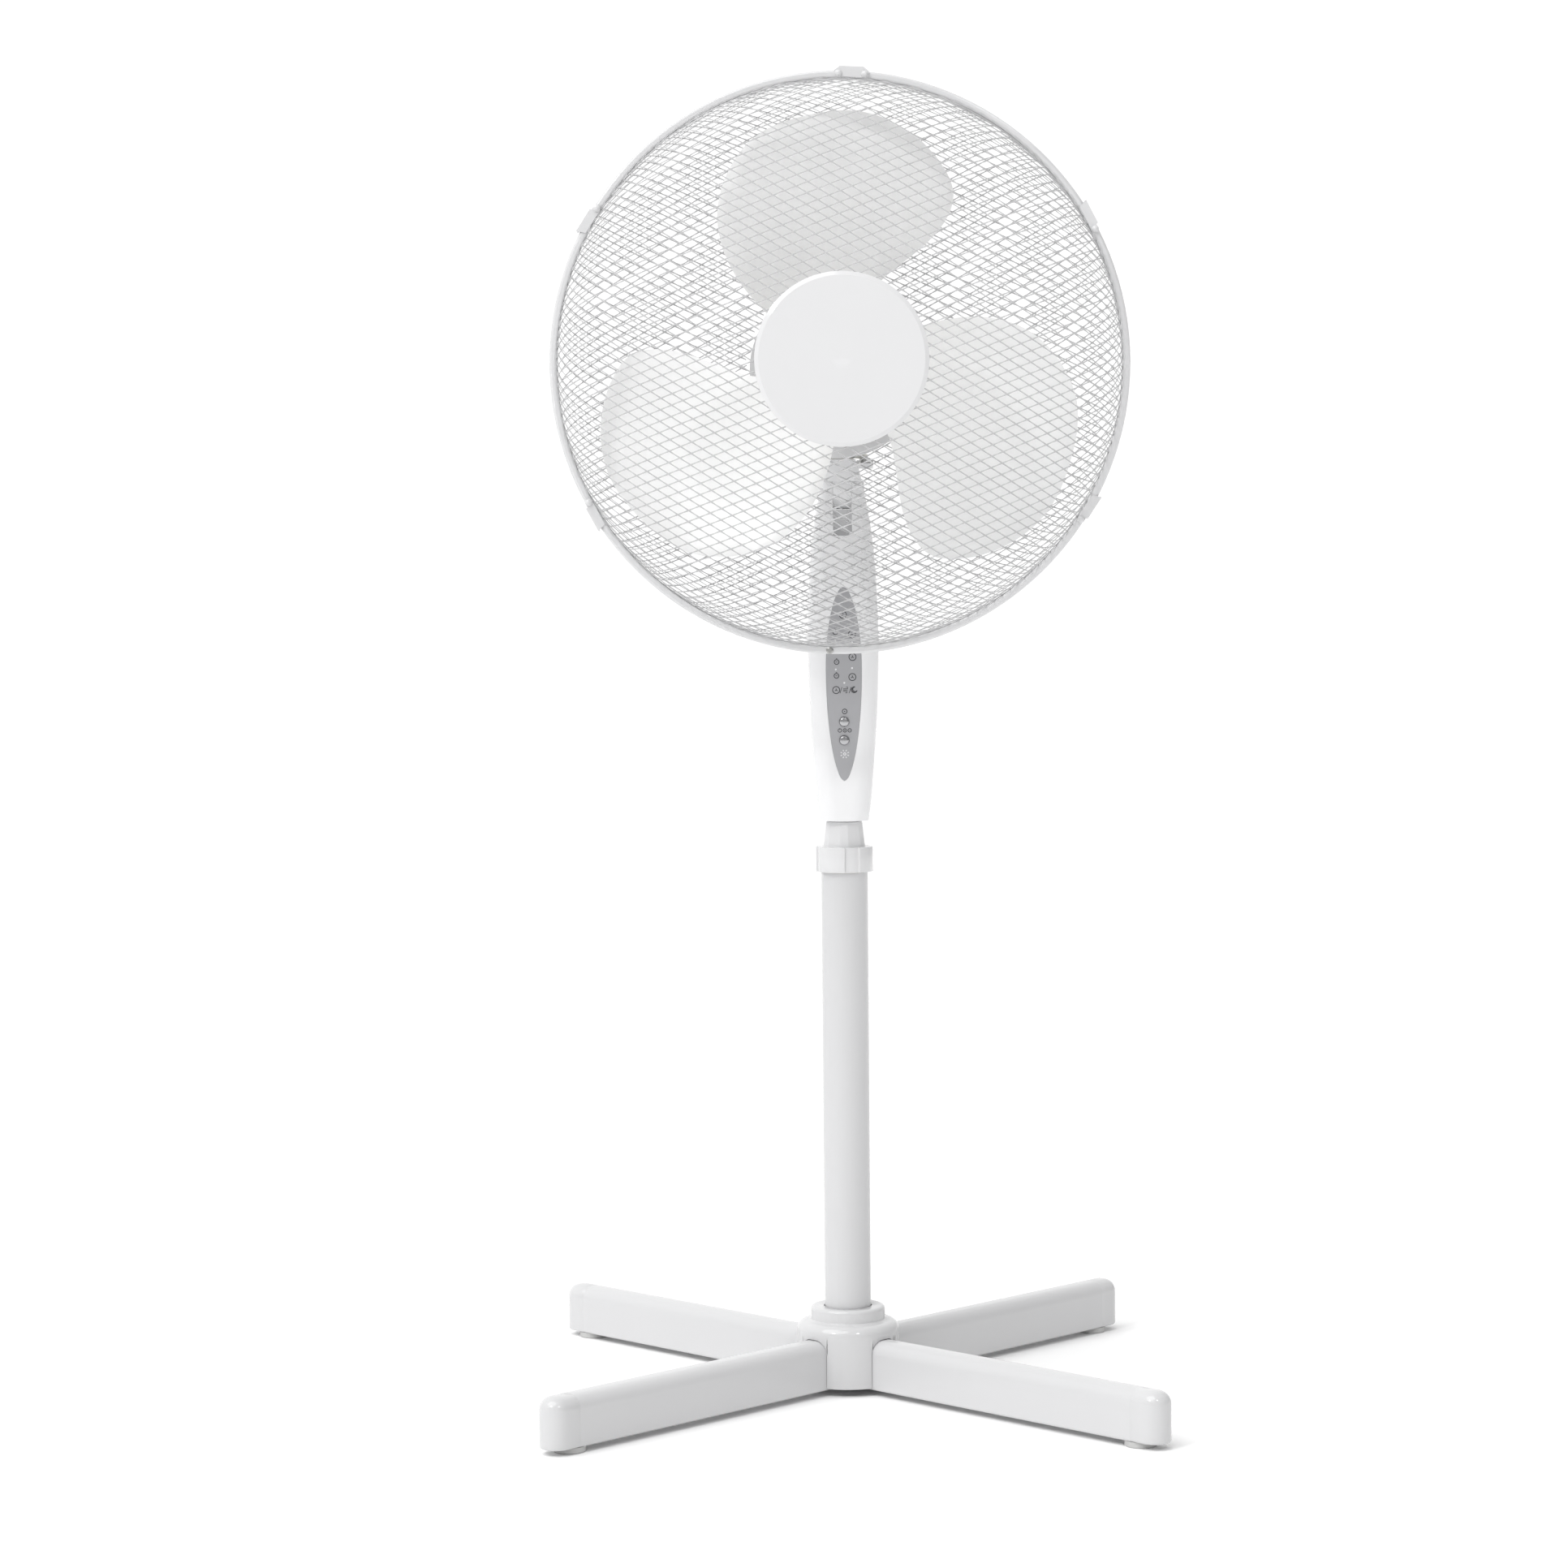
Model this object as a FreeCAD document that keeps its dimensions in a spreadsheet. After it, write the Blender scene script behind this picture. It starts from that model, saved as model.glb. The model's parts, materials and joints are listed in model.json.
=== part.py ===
"""Pedestal fan on a crossed-leg base, in millimetres.

The origin is on the floor under the pole.  +Z is up and the fan blows towards -Y.
"""
import FreeCAD, Part
import math
import os
import re
import Sketcher

Vector = FreeCAD.Vector
Rotation = FreeCAD.Rotation

# alias, size, what it is
SIZES = (
    ("leg_span", 638, "tip to tip of two opposite legs"),
    ("leg_width", 25, "width of a leg tube"),
    ("leg_depth", 38, "height of a leg tube"),
    ("leg_wall", 1.1, "wall of a leg tube"),
    ("leg_shoulder", 10, "radius of a leg's upper edges"),
    ("leg_heel", 2, "radius of a leg's lower edges"),
    ("leg_plug", 14, "length of an end cap inside its tube"),
    ("foot_height", 4.5, "height of a foot pad"),
    ("foot_radius", 12, "radius of a foot pad"),
    ("cover_radius", 40, "base cover, lower tier"),
    ("cover_tier", 29, "base cover, upper tier"),
    ("cover_shoulder", 54, "height of the step between the tiers"),
    ("cover_top", 65, "top of the base cover"),
    ("cover_wall", 2.2, "wall of the base cover"),
    ("pole_radius", 18, "outer pole"),
    ("pole_wall", 1.2, "wall of both poles"),
    ("pole_foot", 45.5, "bottom of the outer pole"),
    ("pole_top", 404, "top of the outer pole"),
    ("collar_radius", 22, "grip lobes of the height collar"),
    ("collar_waist", 20.6, "height collar between its lobes"),
    ("collar_base", 404.6, "bottom of the height collar"),
    ("collar_shoulder", 424, "where the grip ends and the cone begins"),
    ("collar_top", 443.5, "top of the cone"),
    ("cone_foot", 17, "corner radius at the foot of the cone"),
    ("cone_head", 14.6, "corner radius at the top of the cone"),
    ("stem_radius", 12, "inner pole that slides"),
    ("stem_foot", 120, "bottom of the inner pole"),
    ("stem_top", 500, "top of the inner pole"),
    ("shell_wall", 2.2, "wall of the control housing"),
    ("panel_half", 13.7, "half width of the control panel"),
    ("panel_widest", 562, "height of the panel's widest place"),
    ("panel_top", 625, "upper tip of the panel"),
    ("panel_foot", 476, "lower tip of the panel"),
    ("panel_thick", 1.2, "thickness of the panel"),
    ("button_radius", 3.9, "push buttons"),
    ("power_height", 521.7, "upper button"),
    ("speed_height", 507.4, "lower button"),
    ("pocket_foot", 664.3, "bottom of the pocket under the tongue"),
    ("tilt_height", 699, "tilt axis"),
    ("slot_half", 7.3, "half width of the slot for the tongue"),
    ("tongue_half", 7.1, "half width of the tongue"),
    ("tongue_radius", 14, "radius of the tongue"),
    ("ear_radius", 13.2, "rounded tops of the two ears"),
    ("neck_top", 723, "top of the neck"),
    ("pivot_radius", 5, "oscillation pin"),
    ("hub_offset", -4, "fan axis to one side of the pole"),
    ("hub_height", 788, "fan axis above the floor"),
    ("boss_radius", 10.5, "boss that turns on the oscillation pin"),
    ("boss_foot", 724.5, "underside of the boss"),
    ("motor_radius", 54, "motor cover"),
    ("motor_front", -68, "front face of the motor"),
    ("shaft_radius", 4, "motor shaft"),
    ("worm_radius", 5, "pitch radius of the worm"),
    ("worm_module", 0.75, "module of the worm and its wheel"),
    ("spur_module", 0.8, "module of the pinion and the crank gear"),
    ("worm_teeth", 24, "teeth of the worm wheel"),
    ("pinion_teeth", 10, "teeth of the pinion"),
    ("crank_teeth", 50, "teeth of the crank gear"),
    ("gear_depth", 36, "distance of the gear axes behind the pivot"),
    ("wheel_side", -18, "worm wheel axis, sideways"),
    ("crank_side", 6, "crank gear axis, sideways"),
    ("crank_throw", 11.7, "radius of the crank pin"),
    ("stud_side", 19.6, "link stud, sideways"),
    ("stud_depth", 1.9, "link stud, backwards"),
    ("link_length", 35.9, "between the eyes of the crank link"),
    ("ring_plane", -156, "plane where the two guards meet"),
    ("ring_outer", 211.5, "outer radius of the guard rings"),
    ("ring_inner", 206.3, "inner radius of the guard rings"),
    ("front_depth", 64, "front guard dome"),
    ("rear_depth", 86.4, "rear guard dome"),
    ("mesh_thick", 0.4, "thickness of the guard skins"),
    ("badge_radius", 62.5, "plain disc in the front guard"),
    ("plate_radius", 66, "plate in the rear guard"),
    ("rivet_circle", 209, "circle of the clip rivets"),
    ("blade_plane", -130, "middle of the blades"),
    ("blade_radius", 188, "tip of the blades"),
    ("spinner_radius", 22, "hub of the blades"),
)
# control housing from the bottom up: height, half width, front, rear, corner radius
STATIONS = (
    ("sole", 444.5, 18.9, 18.5, 18.5, 15),
    ("ankle", 478, 22.4, 22.4, 21.5, 14),
    ("shin", 520, 25.3, 26, 24.5, 12.5),
    ("belt", 572, 27.1, 28.5, 26.5, 11.4),
    ("chest", 625, 26, 27, 25, 11),
    ("brow", 664, 22.9, 21.5, 20.5, 9.5),
    ("cheek", 694, 18, 14.2, 14.2, 7),
    ("crown", 716, 13.2, 13.2, 13.2, 6),
)
# neck hood from the bottom up, in the same order
HOOD_STATIONS = (
    ("hem", 706, 15.4, 15.2, 15.2, 6.5),
    ("fold", 714, 13.6, 14.6, 14.6, 6.5),
    ("cap", 723, 10.8, 12.6, 12.6, 6.5),
)
STATION_SIZES = ("height", "half", "front", "rear", "corner")
# blade outline: distance from the fan axis, angle seen from the front
BLADE_OUTLINE = (
    (18, 30), (70, 24), (109, 17.6), (139, 9.5), (164, -1.5), (177, -10), (184, -21.5),
    (188, -35.7), (181, -47.6), (168, -58), (155, -64), (126, -66.6), (90, -61.7), (18, -75),
)
CLIP_ANGLES = (27.2, 147.2, 208.4, 326.7)
HOOK_ANGLE = 87.3
SCREW_SEAT = 16
LINK_SWING = 34
SAFETY_ANGLE = 267.5

doc = FreeCAD.newDocument("pedestal_fan")
sheet = doc.addObject("Spreadsheet::Sheet", "dims")
nodes = []


# ---------------------------------------------------------------- the sheet
def fill_sheet():
    """Give every driving dimension a cell with an alias."""
    rows = list(SIZES)
    for name, *values in STATIONS + HOOD_STATIONS:
        for part, value in zip(STATION_SIZES, values):
            rows.append((f"{name}_{part}", value, f"{part} of the {name} section"))
    for line, (alias, value, meaning) in enumerate(rows, start=1):
        sheet.set(f"A{line}", meaning)
        sheet.set(f"B{line}", str(value))
        sheet.setAlias(f"B{line}", alias)
    doc.recompute()


def size(alias):
    """Number in the cell with this alias."""
    return float(sheet.get(alias))


def formula(text):
    """Turn the aliases in a size formula into references to the sheet."""
    return re.sub(r"[a-z][a-z_]+", lambda word: "dims." + word.group(), str(text))


def amount(text):
    """Number that a size formula comes to."""
    result = sheet.evalExpression(formula(text))
    return float(getattr(result, "Value", result))


def bind(target, prop, text):
    """Hold a property or a constraint to a size formula."""
    target.setExpression(prop, formula(text))


# ---------------------------------------------------------------- sketches and bodies
def origin_plane(body, role):
    """One of a body's own origin planes."""
    return next(item for item in body.Origin.OriginFeatures if item.Role == role)


def arc_between(start, end, radius):
    """Arc from start to end; a positive radius runs counterclockwise."""
    chord = end - start
    sign = math.copysign(1, radius)
    rise = math.sqrt(max(radius * radius - chord.Length ** 2 / 4, 0))
    normal = Vector(-chord.y, chord.x, 0).normalize() * sign
    centre = (start + end) * 0.5 + normal * rise
    first, last = (start, end) if radius > 0 else (end, start)
    angles = [math.atan2(p.y - centre.y, p.x - centre.x) for p in (first, last)]
    circle = Part.Circle(centre, Vector(0, 0, 1), abs(radius))
    return Part.ArcOfCircle(circle, angles[0], angles[1])


def add_loop(sketch, corners):
    """Closed outline; a corner with a third size starts an arc of that radius."""
    points = [Vector(amount(corner[0]), amount(corner[1]), 0) for corner in corners]
    ends = []
    for index, corner in enumerate(corners):
        start = points[index]
        end = points[(index + 1) % len(points)]
        if len(corner) == 3:
            radius = amount(corner[2])
            number = sketch.addGeometry(arc_between(start, end, radius), False)
            ends.append((number, 1, 2) if radius > 0 else (number, 2, 1))
        else:
            number = sketch.addGeometry(Part.LineSegment(start, end), False)
            ends.append((number, 1, 2))
    for index, (number, head, tail) in enumerate(ends):
        following = ends[(index + 1) % len(ends)]
        sketch.addConstraint(
            Sketcher.Constraint("Coincident", number, tail, following[0], following[1]))
    for (number, head, tail), corner, point in zip(ends, corners, points):
        for kind, place, text in (("DistanceX", point.x, corner[0]),
                                  ("DistanceY", point.y, corner[1])):
            held = sketch.addConstraint(Sketcher.Constraint(kind, number, head, place))
            bind(sketch, f"Constraints[{held}]", text)
        if len(corner) == 3:
            radius = str(corner[2]).lstrip("-")
            held = sketch.addConstraint(Sketcher.Constraint("Radius", number, amount(radius)))
            bind(sketch, f"Constraints[{held}]", radius)


def outline(body, role, *loops):
    """Sketch on one of the body's origin planes."""
    sketch = body.newObject("Sketcher::SketchObject", body.Name + "_outline")
    sketch.AttachmentSupport = [(origin_plane(body, role), "")]
    sketch.MapMode = "FlatFace"
    for loop in loops:
        add_loop(sketch, loop)
    return sketch


def new_body(name):
    """Empty PartDesign body with its label."""
    body = doc.addObject("PartDesign::Body", name)
    body.Label = name
    return body


def revolve_in(body, role, *loops):
    """Add a full revolution about the sketch's vertical axis."""
    sketch = outline(body, role, *loops)
    turn = body.newObject("PartDesign::Revolution", body.Name + "_turn")
    turn.Profile = sketch
    turn.ReferenceAxis = (sketch, ["V_Axis"])
    turn.Angle = 360
    return turn


def pad_in(body, role, length, *loops, middle=False, back=False):
    """Add a pad of the given length to a body."""
    sketch = outline(body, role, *loops)
    pad = body.newObject("PartDesign::Pad", body.Name + "_pad")
    pad.Profile = sketch
    pad.Midplane = middle
    pad.Reversed = back
    pad.Length = amount(length)
    bind(pad, "Length", length)
    return pad


def turned(name, *loops, about="Z"):
    """Body turned about Z, from (radius, height), or about Y, from (radius, depth)."""
    body = new_body(name)
    revolve_in(body, "XZ_Plane" if about == "Z" else "XY_Plane", *loops)
    return body


def padded(name, role, length, *loops, middle=False, back=False):
    """Body padded from an outline."""
    body = new_body(name)
    pad_in(body, role, length, *loops, middle=middle, back=back)
    return body


def ring(inner, outer, low, high):
    """Rectangular outline of a turned ring."""
    return [(inner, low), (outer, low), (outer, high), (inner, high)]


def move(thing, x=0, y=0, z=0, rotation=Rotation()):
    """Place an object at a position held by size formulas."""
    thing.Placement = FreeCAD.Placement(Vector(amount(x), amount(y), amount(z)), rotation)
    for axis, text in zip("xyz", (x, y, z)):
        if str(text) != "0":
            bind(thing, "Placement.Base." + axis, text)
    return thing


def at_hub(thing, y=0):
    """Put an object on the fan axis."""
    return move(thing, x="hub_offset", y=y, z="hub_height")


# ---------------------------------------------------------------- primitives and booleans
ALONG = {
    "X": Rotation(Vector(0, 1, 0), 90),
    "Y": Rotation(Vector(1, 0, 0), -90),
    "Z": Rotation(),
}


def cylinder(name, radius, height, x=0, y=0, z=0, along="Z", angle=360):
    """Cylinder that starts at a point and runs along an axis."""
    rod = doc.addObject("Part::Cylinder", name)
    bind(rod, "Radius", radius)
    bind(rod, "Height", height)
    rod.Angle = angle
    return move(rod, x, y, z, ALONG[along])


def box(name, x, y, z):
    """Box between three pairs of size formulas."""
    block = doc.addObject("Part::Box", name)
    for prop, (low, high) in zip(("Length", "Width", "Height"), (x, y, z)):
        bind(block, prop, f"({high}) - ({low})")
    return move(block, x[0], y[0], z[0])


def fuse(name, *shapes):
    """Union of several objects."""
    union = doc.addObject("Part::MultiFuse", name)
    union.Shapes = list(shapes)
    union.Refine = True
    return union


def cut(name, base, *tools):
    """Base less its tools."""
    result = doc.addObject("Part::Cut", name)
    result.Base = base
    result.Tool = tools[0] if len(tools) == 1 else fuse(name + "_tools", *tools)
    return result


def feature(name, shape, placement=None):
    """Object with a shape of its own."""
    item = doc.addObject("Part::Feature", name)
    item.Shape = shape
    if placement is not None:
        item.Placement = placement
    return item


def copies(name, source, placements):
    """Identical solids in one node, from one finished object."""
    doc.recompute()
    solids = []
    for placement in placements:
        solid = source.Shape.copy()
        solid.Placement = placement.multiply(solid.Placement)
        solids.append(solid)
    return feature(name, Part.makeCompound(solids))


def about_hub(angle):
    """Placement of a piece made above the fan axis, turned to an angle seen from the front."""
    return FreeCAD.Placement(
        Vector(size("hub_offset"), 0, size("hub_height")), Rotation(Vector(0, -1, 0), angle - 90))


def node(thing, label=None):
    """Mark an object as a sub-part of the fan."""
    thing.Label = label or thing.Name
    nodes.append(thing)
    return thing


# ---------------------------------------------------------------- base
def leg_loop(inset):
    """Leg section: flat sides and bottom, round shoulders."""
    half = f"leg_width / 2 - ({inset})"
    low = f"foot_height + ({inset})"
    high = f"foot_height + leg_depth - ({inset})"
    heel = f"leg_heel - ({inset})" if inset == 0 else "0.5"
    shoulder = f"leg_shoulder - ({inset})"
    return [
        (f"-({half}) + {heel}", low),
        (f"{half} - ({heel})", low, heel),
        (half, f"{low} + {heel}"),
        (half, f"{high} - ({shoulder})", shoulder),
        (f"{half} - ({shoulder})", high),
        (f"-({half}) + {shoulder}", high, shoulder),
        (f"-({half})", f"{high} - ({shoulder})"),
        (f"-({half})", f"{low} + {heel}", heel),
    ]


def cross_tube(name, notch_low, notch_high, angle):
    """One leg tube, notched at the middle so that it laps with the other."""
    tube = padded(name + "_bar", "XZ_Plane", "leg_span - 2 * leg_width",
                  leg_loop(0), leg_loop("leg_wall"), middle=True)
    notch = box(name + "_notch", ("-leg_width", "leg_width"),
                ("-leg_width / 2 - 0.2", "leg_width / 2 + 0.2"), (notch_low, notch_high))
    bore = cylinder(name + "_bore", 4.4, "2 * leg_depth")
    result = cut(name, tube, notch, bore)
    result.Placement = FreeCAD.Placement(Vector(), Rotation(Vector(0, 0, 1), angle))
    return node(result)


def leg_end_caps():
    """Round-ended caps that plug the four leg ends."""
    half = "leg_width / 2"
    low = "foot_height"
    high = "foot_height + leg_depth"
    cap = new_body("end_cap")
    revolve_in(cap, "XZ_Plane", [
        (0, low),
        (f"{half} - leg_heel", low, "leg_heel"),
        (half, f"{low} + leg_heel"),
        (half, f"{high} - leg_shoulder", "leg_shoulder"),
        (f"{half} - leg_shoulder", high),
        (0, high),
    ])
    pad_in(cap, "XZ_Plane", "leg_width / 2", leg_loop(0))
    pad_in(cap, "XZ_Plane", "leg_width / 2 + leg_plug", leg_loop("leg_wall + 0.1"))
    reach = Vector(0, size("leg_span") / 2 - size("leg_width") / 2, 0)
    turns = [Rotation(Vector(0, 0, 1), 45 + 90 * quarter) for quarter in range(4)]
    node(copies("leg_end_caps", cap,
                [FreeCAD.Placement(turn.multVec(reach), turn) for turn in turns]))


def foot_pads():
    """Rubber pads under the leg ends."""
    pad = turned("foot_pad", [
        (0, 0), ("foot_radius - 0.8", 0), ("foot_radius", 0.8),
        ("foot_radius", "foot_height"), (0, "foot_height")])
    reach = Vector(0, size("leg_span") / 2 - size("leg_width"), 0)
    turns = [Rotation(Vector(0, 0, 1), 45 + 90 * quarter) for quarter in range(4)]
    node(copies("foot_pads", pad,
                [FreeCAD.Placement(turn.multVec(reach), turn) for turn in turns]))


def base_cover():
    """Two-tier dome over the crossing, arched over the four legs."""
    dome = turned("cover_dome", [
        ("cover_radius", 6),
        ("cover_radius", "cover_shoulder - 8", 8),
        ("cover_radius - 8", "cover_shoulder"),
        ("cover_tier", "cover_shoulder + 1"),
        ("cover_tier", "cover_top - 3", 3),
        ("cover_tier - 3", "cover_top"),
        ("pole_radius + 0.6", "cover_top"),
        ("pole_radius + 0.6", "cover_top - cover_wall"),
        ("cover_tier - 3", "cover_top - cover_wall"),
        ("cover_tier - cover_wall", "cover_top - cover_wall - 1"),
        ("cover_tier - cover_wall", "cover_shoulder - cover_wall"),
        ("cover_radius - 8", "cover_shoulder - cover_wall", "-(8 - cover_wall)"),
        ("cover_radius - cover_wall", "cover_shoulder - 8"),
        ("cover_radius - cover_wall", 6),
    ])
    channels = []
    for side, angle in (("left", 45), ("right", -45)):
        channel = padded(f"{side}_channel", "XZ_Plane", "4 * cover_radius",
                         leg_loop(-0.4), middle=True)
        channel.Placement = FreeCAD.Placement(Vector(), Rotation(Vector(0, 0, 1), angle))
        channels.append(channel)
    node(cut("base_cover", dome, *channels))


def base_fasteners():
    """Saddle under the pole and the bolt that clamps it to the crossed tubes."""
    seat = "foot_height + leg_depth"
    spigot = "pole_radius - pole_wall - 0.05"
    node(turned("pole_saddle", [
        (4.3, seat), (24, seat), (24, "pole_foot"), (spigot, "pole_foot"),
        (spigot, 84), (f"{spigot} - 1", 85), (4.3, 85)]))
    node(turned("base_bolt", [
        (0, 0.9), (7.2, 0.9), (8, 1.7), (8, "foot_height - 1.2"), (11, "foot_height - 1.2"),
        (11, "foot_height"), (4.2, "foot_height"), (4.2, 76), (0, 76)]))


def poles():
    """Outer pole with its collet, and the inner pole that slides in it."""
    bore = "pole_radius - pole_wall"
    node(turned("outer_pole", ring(bore, "pole_radius", "pole_foot", "pole_top")))
    blank = turned("collet_blank", [
        ("stem_radius + 0.05", "pole_top - 30"), (f"{bore} - 0.05", "pole_top - 30"),
        (f"{bore} - 0.05", "pole_top"), ("pole_radius - 0.2", "pole_top"),
        ("pole_radius - 0.2", "pole_top + 2"), (14.9, "pole_top + 2"), (14.9, "pole_top + 16"),
        (13.1, "pole_top + 31"), ("stem_radius + 0.05", "pole_top + 31")])
    slots = [
        box("slot_across", (-20, 20), (-0.6, 0.6), ("pole_top + 6", "pole_top + 40")),
        box("slot_along", (-0.6, 0.6), (-20, 20), ("pole_top + 6", "pole_top + 40"))]
    node(cut("clamp_collet", blank, *slots))
    node(turned("inner_pole", ring("stem_radius - pole_wall", "stem_radius",
                                   "stem_foot", "stem_top")))
    node(turned("inner_pole_bush", [
        ("stem_radius", "stem_foot"), (f"{bore} - 0.6", "stem_foot"),
        (f"{bore} - 0.1", "stem_foot + 1"), (f"{bore} - 0.1", "stem_foot + 27"),
        (f"{bore} - 0.6", "stem_foot + 28"), ("stem_radius", "stem_foot + 28")]))


def cone_section(radius, height):
    """Twelve-sided section with broad and narrow sides in turn."""
    corners = []
    for side in range(6):
        for edge in (-19, 19):
            angle = math.radians(60 * side - 62 + edge)
            corners.append(Vector(radius * math.cos(angle), radius * math.sin(angle), height))
    return Part.makePolygon(corners + corners[:1])


def height_collar():
    """Grip ring with four lobes, and the faceted cone above it."""
    tall = "collar_shoulder - collar_base"
    pieces = [cylinder("collar_core", "collar_waist", tall, z="collar_base")]
    for quarter in range(4):
        lobe = cylinder(f"collar_lobe_{quarter}", "collar_radius", tall, z="collar_base", angle=60)
        lobe.Placement.Rotation = Rotation(Vector(0, 0, 1), 90 * quarter - 150)
        pieces.append(lobe)
    pieces.append(feature("collar_cone", Part.makeLoft(
        [cone_section(size("cone_foot"), size("collar_shoulder") - 0.2),
         cone_section(size("cone_head"), size("collar_top"))], True, True)))
    bore = turned("collar_bore", [
        (0, "collar_base - 1"), ("pole_radius + 0.2", "collar_base - 1"),
        ("pole_radius + 0.2", "pole_top + 2.3"), (15.1, "pole_top + 2.3"),
        (15.1, "pole_top + 16"), (13.3, "pole_top + 31.3"), (12.5, "pole_top + 32"),
        (12.5, "collar_top + 1"), (0, "collar_top + 1")])
    node(cut("height_collar", fuse("collar_solid", *pieces), bore))


# ---------------------------------------------------------------- control housing
def section_wire(name, inset):
    """Rounded rectangle of one housing or hood section."""
    height, half, front, rear, corner = (size(f"{name}_{part}") for part in STATION_SIZES)
    half, front, rear, corner = (value - inset for value in (half, front, rear, corner))
    spots = (
        (half - corner, -front + corner, -90), (half - corner, rear - corner, 0),
        (-half + corner, rear - corner, 90), (-half + corner, -front + corner, 180))
    edges = []
    last = None
    for x, y, start in spots:
        circle = Part.Circle(Vector(x, y, height), Vector(0, 0, 1), corner)
        arc = Part.ArcOfCircle(circle, math.radians(start), math.radians(start + 90))
        if last is not None:
            edges.append(Part.LineSegment(last, arc.StartPoint).toShape())
        edges.append(arc.toShape())
        last = arc.EndPoint
    edges.append(Part.LineSegment(last, edges[0].Vertexes[0].Point).toShape())
    return Part.Wire(edges)


def lofted(stations, inset=0.0):
    """Smooth solid through a run of sections."""
    return Part.makeLoft([section_wire(row[0], inset) for row in stations], True, False)


def slab(x, y, z):
    """Plain block between three pairs of numbers."""
    return Part.makeBox(x[1] - x[0], y[1] - y[0], z[1] - z[0], Vector(x[0], y[0], z[0]))


def rod(radius, start, end):
    """Plain cylinder between two points."""
    return Part.makeCylinder(radius, (end - start).Length, start, end - start)


def lens_block(gap):
    """Solid over the panel's outline, from in front of the housing to inside it."""
    middle = size("panel_widest")
    half = size("panel_half") + gap
    halves = []
    for tip in (size("panel_top") + gap, size("panel_foot") - gap):
        for side in (1, -1):
            run = []
            for step in range(9):
                share = math.sin(math.pi / 2 * step / 8)
                width = side * half * (1 - share * share) ** 0.56
                run.append(Vector(width, -45, middle + (tip - middle) * share))
            curve = Part.BSplineCurve()
            curve.interpolate(run)
            halves.append(curve.toShape())
    face = Part.Face(Part.Wire(Part.__sortEdges__(halves)))
    return face.extrude(Vector(0, 35, 0))


def front_skin(outer, depth):
    """Skin of the housing's front, of a depth measured along Y."""
    inner = outer.copy()
    inner.translate(Vector(0, depth, 0))
    return outer.cut(inner)


def housing_blank():
    """Outside of the control housing, with the two ears rounded about the tilt axis."""
    tilt = size("tilt_height")
    blank = lofted(STATIONS)
    ears = rod(size("ear_radius"), Vector(-30, 0, tilt), Vector(30, 0, tilt))
    return blank.cut(slab((-40, 40), (-40, 40), (tilt, tilt + 40)).cut(ears))


def housing_cavity():
    """Hollow of the housing, less the ribs that hold the inner pole."""
    inner = lofted(STATIONS, size("shell_wall"))
    foot = size("sole_height") + 2.5
    cavity = inner.common(slab((-40, 40), (-40, 40), (foot, size("pocket_foot") - 4)))
    for low in (foot + 6, size("stem_top") - 6):
        cavity = cavity.cut(slab((-40, 40), (-40, 40), (low, low + 3)))
    return cavity


def screw_places():
    """Where the four housing screws stand: sideways and height."""
    return [(side * reach, height) for reach, height in ((16.2, 475), (13.5, 648))
            for side in (-1, 1)]


def housing():
    """Front and rear halves of the control housing, and the screws that join them."""
    tilt = size("tilt_height")
    slot = size("slot_half")
    reach = size("tongue_radius") + 0.3
    outer = housing_blank()
    shell = outer.cut(housing_cavity())
    bosses = [rod(3.6, Vector(x, -26, z), Vector(x, 26, z)) for x, z in screw_places()]
    shell = shell.fuse([boss.common(outer) for boss in bosses])
    shell = shell.cut(slab((-slot, slot), (-40, 40), (tilt - reach, tilt + 40)))
    shell = shell.cut(slab((-slot, slot), (-40, -6), (size("pocket_foot"), tilt)))
    shell = shell.cut(rod(4.05, Vector(-40, 0, tilt), Vector(40, 0, tilt)))
    for side in (-1, 1):
        shell = shell.cut(rod(7, Vector(side * 11.5, 0, tilt), Vector(side * 40, 0, tilt)))
    pole = rod(size("stem_radius") + 0.05, Vector(0, 0, 440), Vector(0, 0, size("stem_top") + 0.1))
    shell = shell.cut(pole)
    shell = shell.cut(rod(5.1, Vector(0, 10, 466), Vector(0, 40, 466)))
    for x, z in screw_places():
        shell = shell.cut(rod(1.4, Vector(x, -14.5, z), Vector(x, 40, z)))
        shell = shell.cut(rod(3.1, Vector(x, SCREW_SEAT, z), Vector(x, 40, z)))
    front = shell.common(slab((-40, 40), (-40, 0), (440, 720)))
    rear = shell.common(slab((-40, 40), (0, 40), (440, 720)))
    front = front.cut(front_skin(outer, size("panel_thick") + 0.05).common(lens_block(0.15)))
    panel = front_skin(outer, size("panel_thick")).common(lens_block(0))
    for height in (size("power_height"), size("speed_height")):
        way = rod(size("button_radius") + 0.1, Vector(0, -40, height), Vector(0, -10, height))
        front = front.cut(way)
        panel = panel.cut(way)
    node(feature("housing_front", front.removeSplitter()))
    node(feature("housing_rear", rear.removeSplitter()))
    node(feature("control_panel", panel))
    screw = turned("housing_screw", [
        (0, -14), (1.35, -14), (1.35, SCREW_SEAT), (2.8, SCREW_SEAT), (2.8, SCREW_SEAT + 1.4),
        (2.2, SCREW_SEAT + 2), (0, SCREW_SEAT + 2)], about="Y")
    node(copies("housing_screws", screw, [
        FreeCAD.Placement(Vector(x, 0, z), Rotation()) for x, z in screw_places()]))


def front_at(height):
    """Depth of the housing's front face at a height, between its sections."""
    for below, above in zip(STATIONS, STATIONS[1:]):
        if below[1] <= height <= above[1]:
            share = (height - below[1]) / (above[1] - below[1])
            return -(below[3] + share * (above[3] - below[3]))
    raise ValueError(height)


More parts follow.
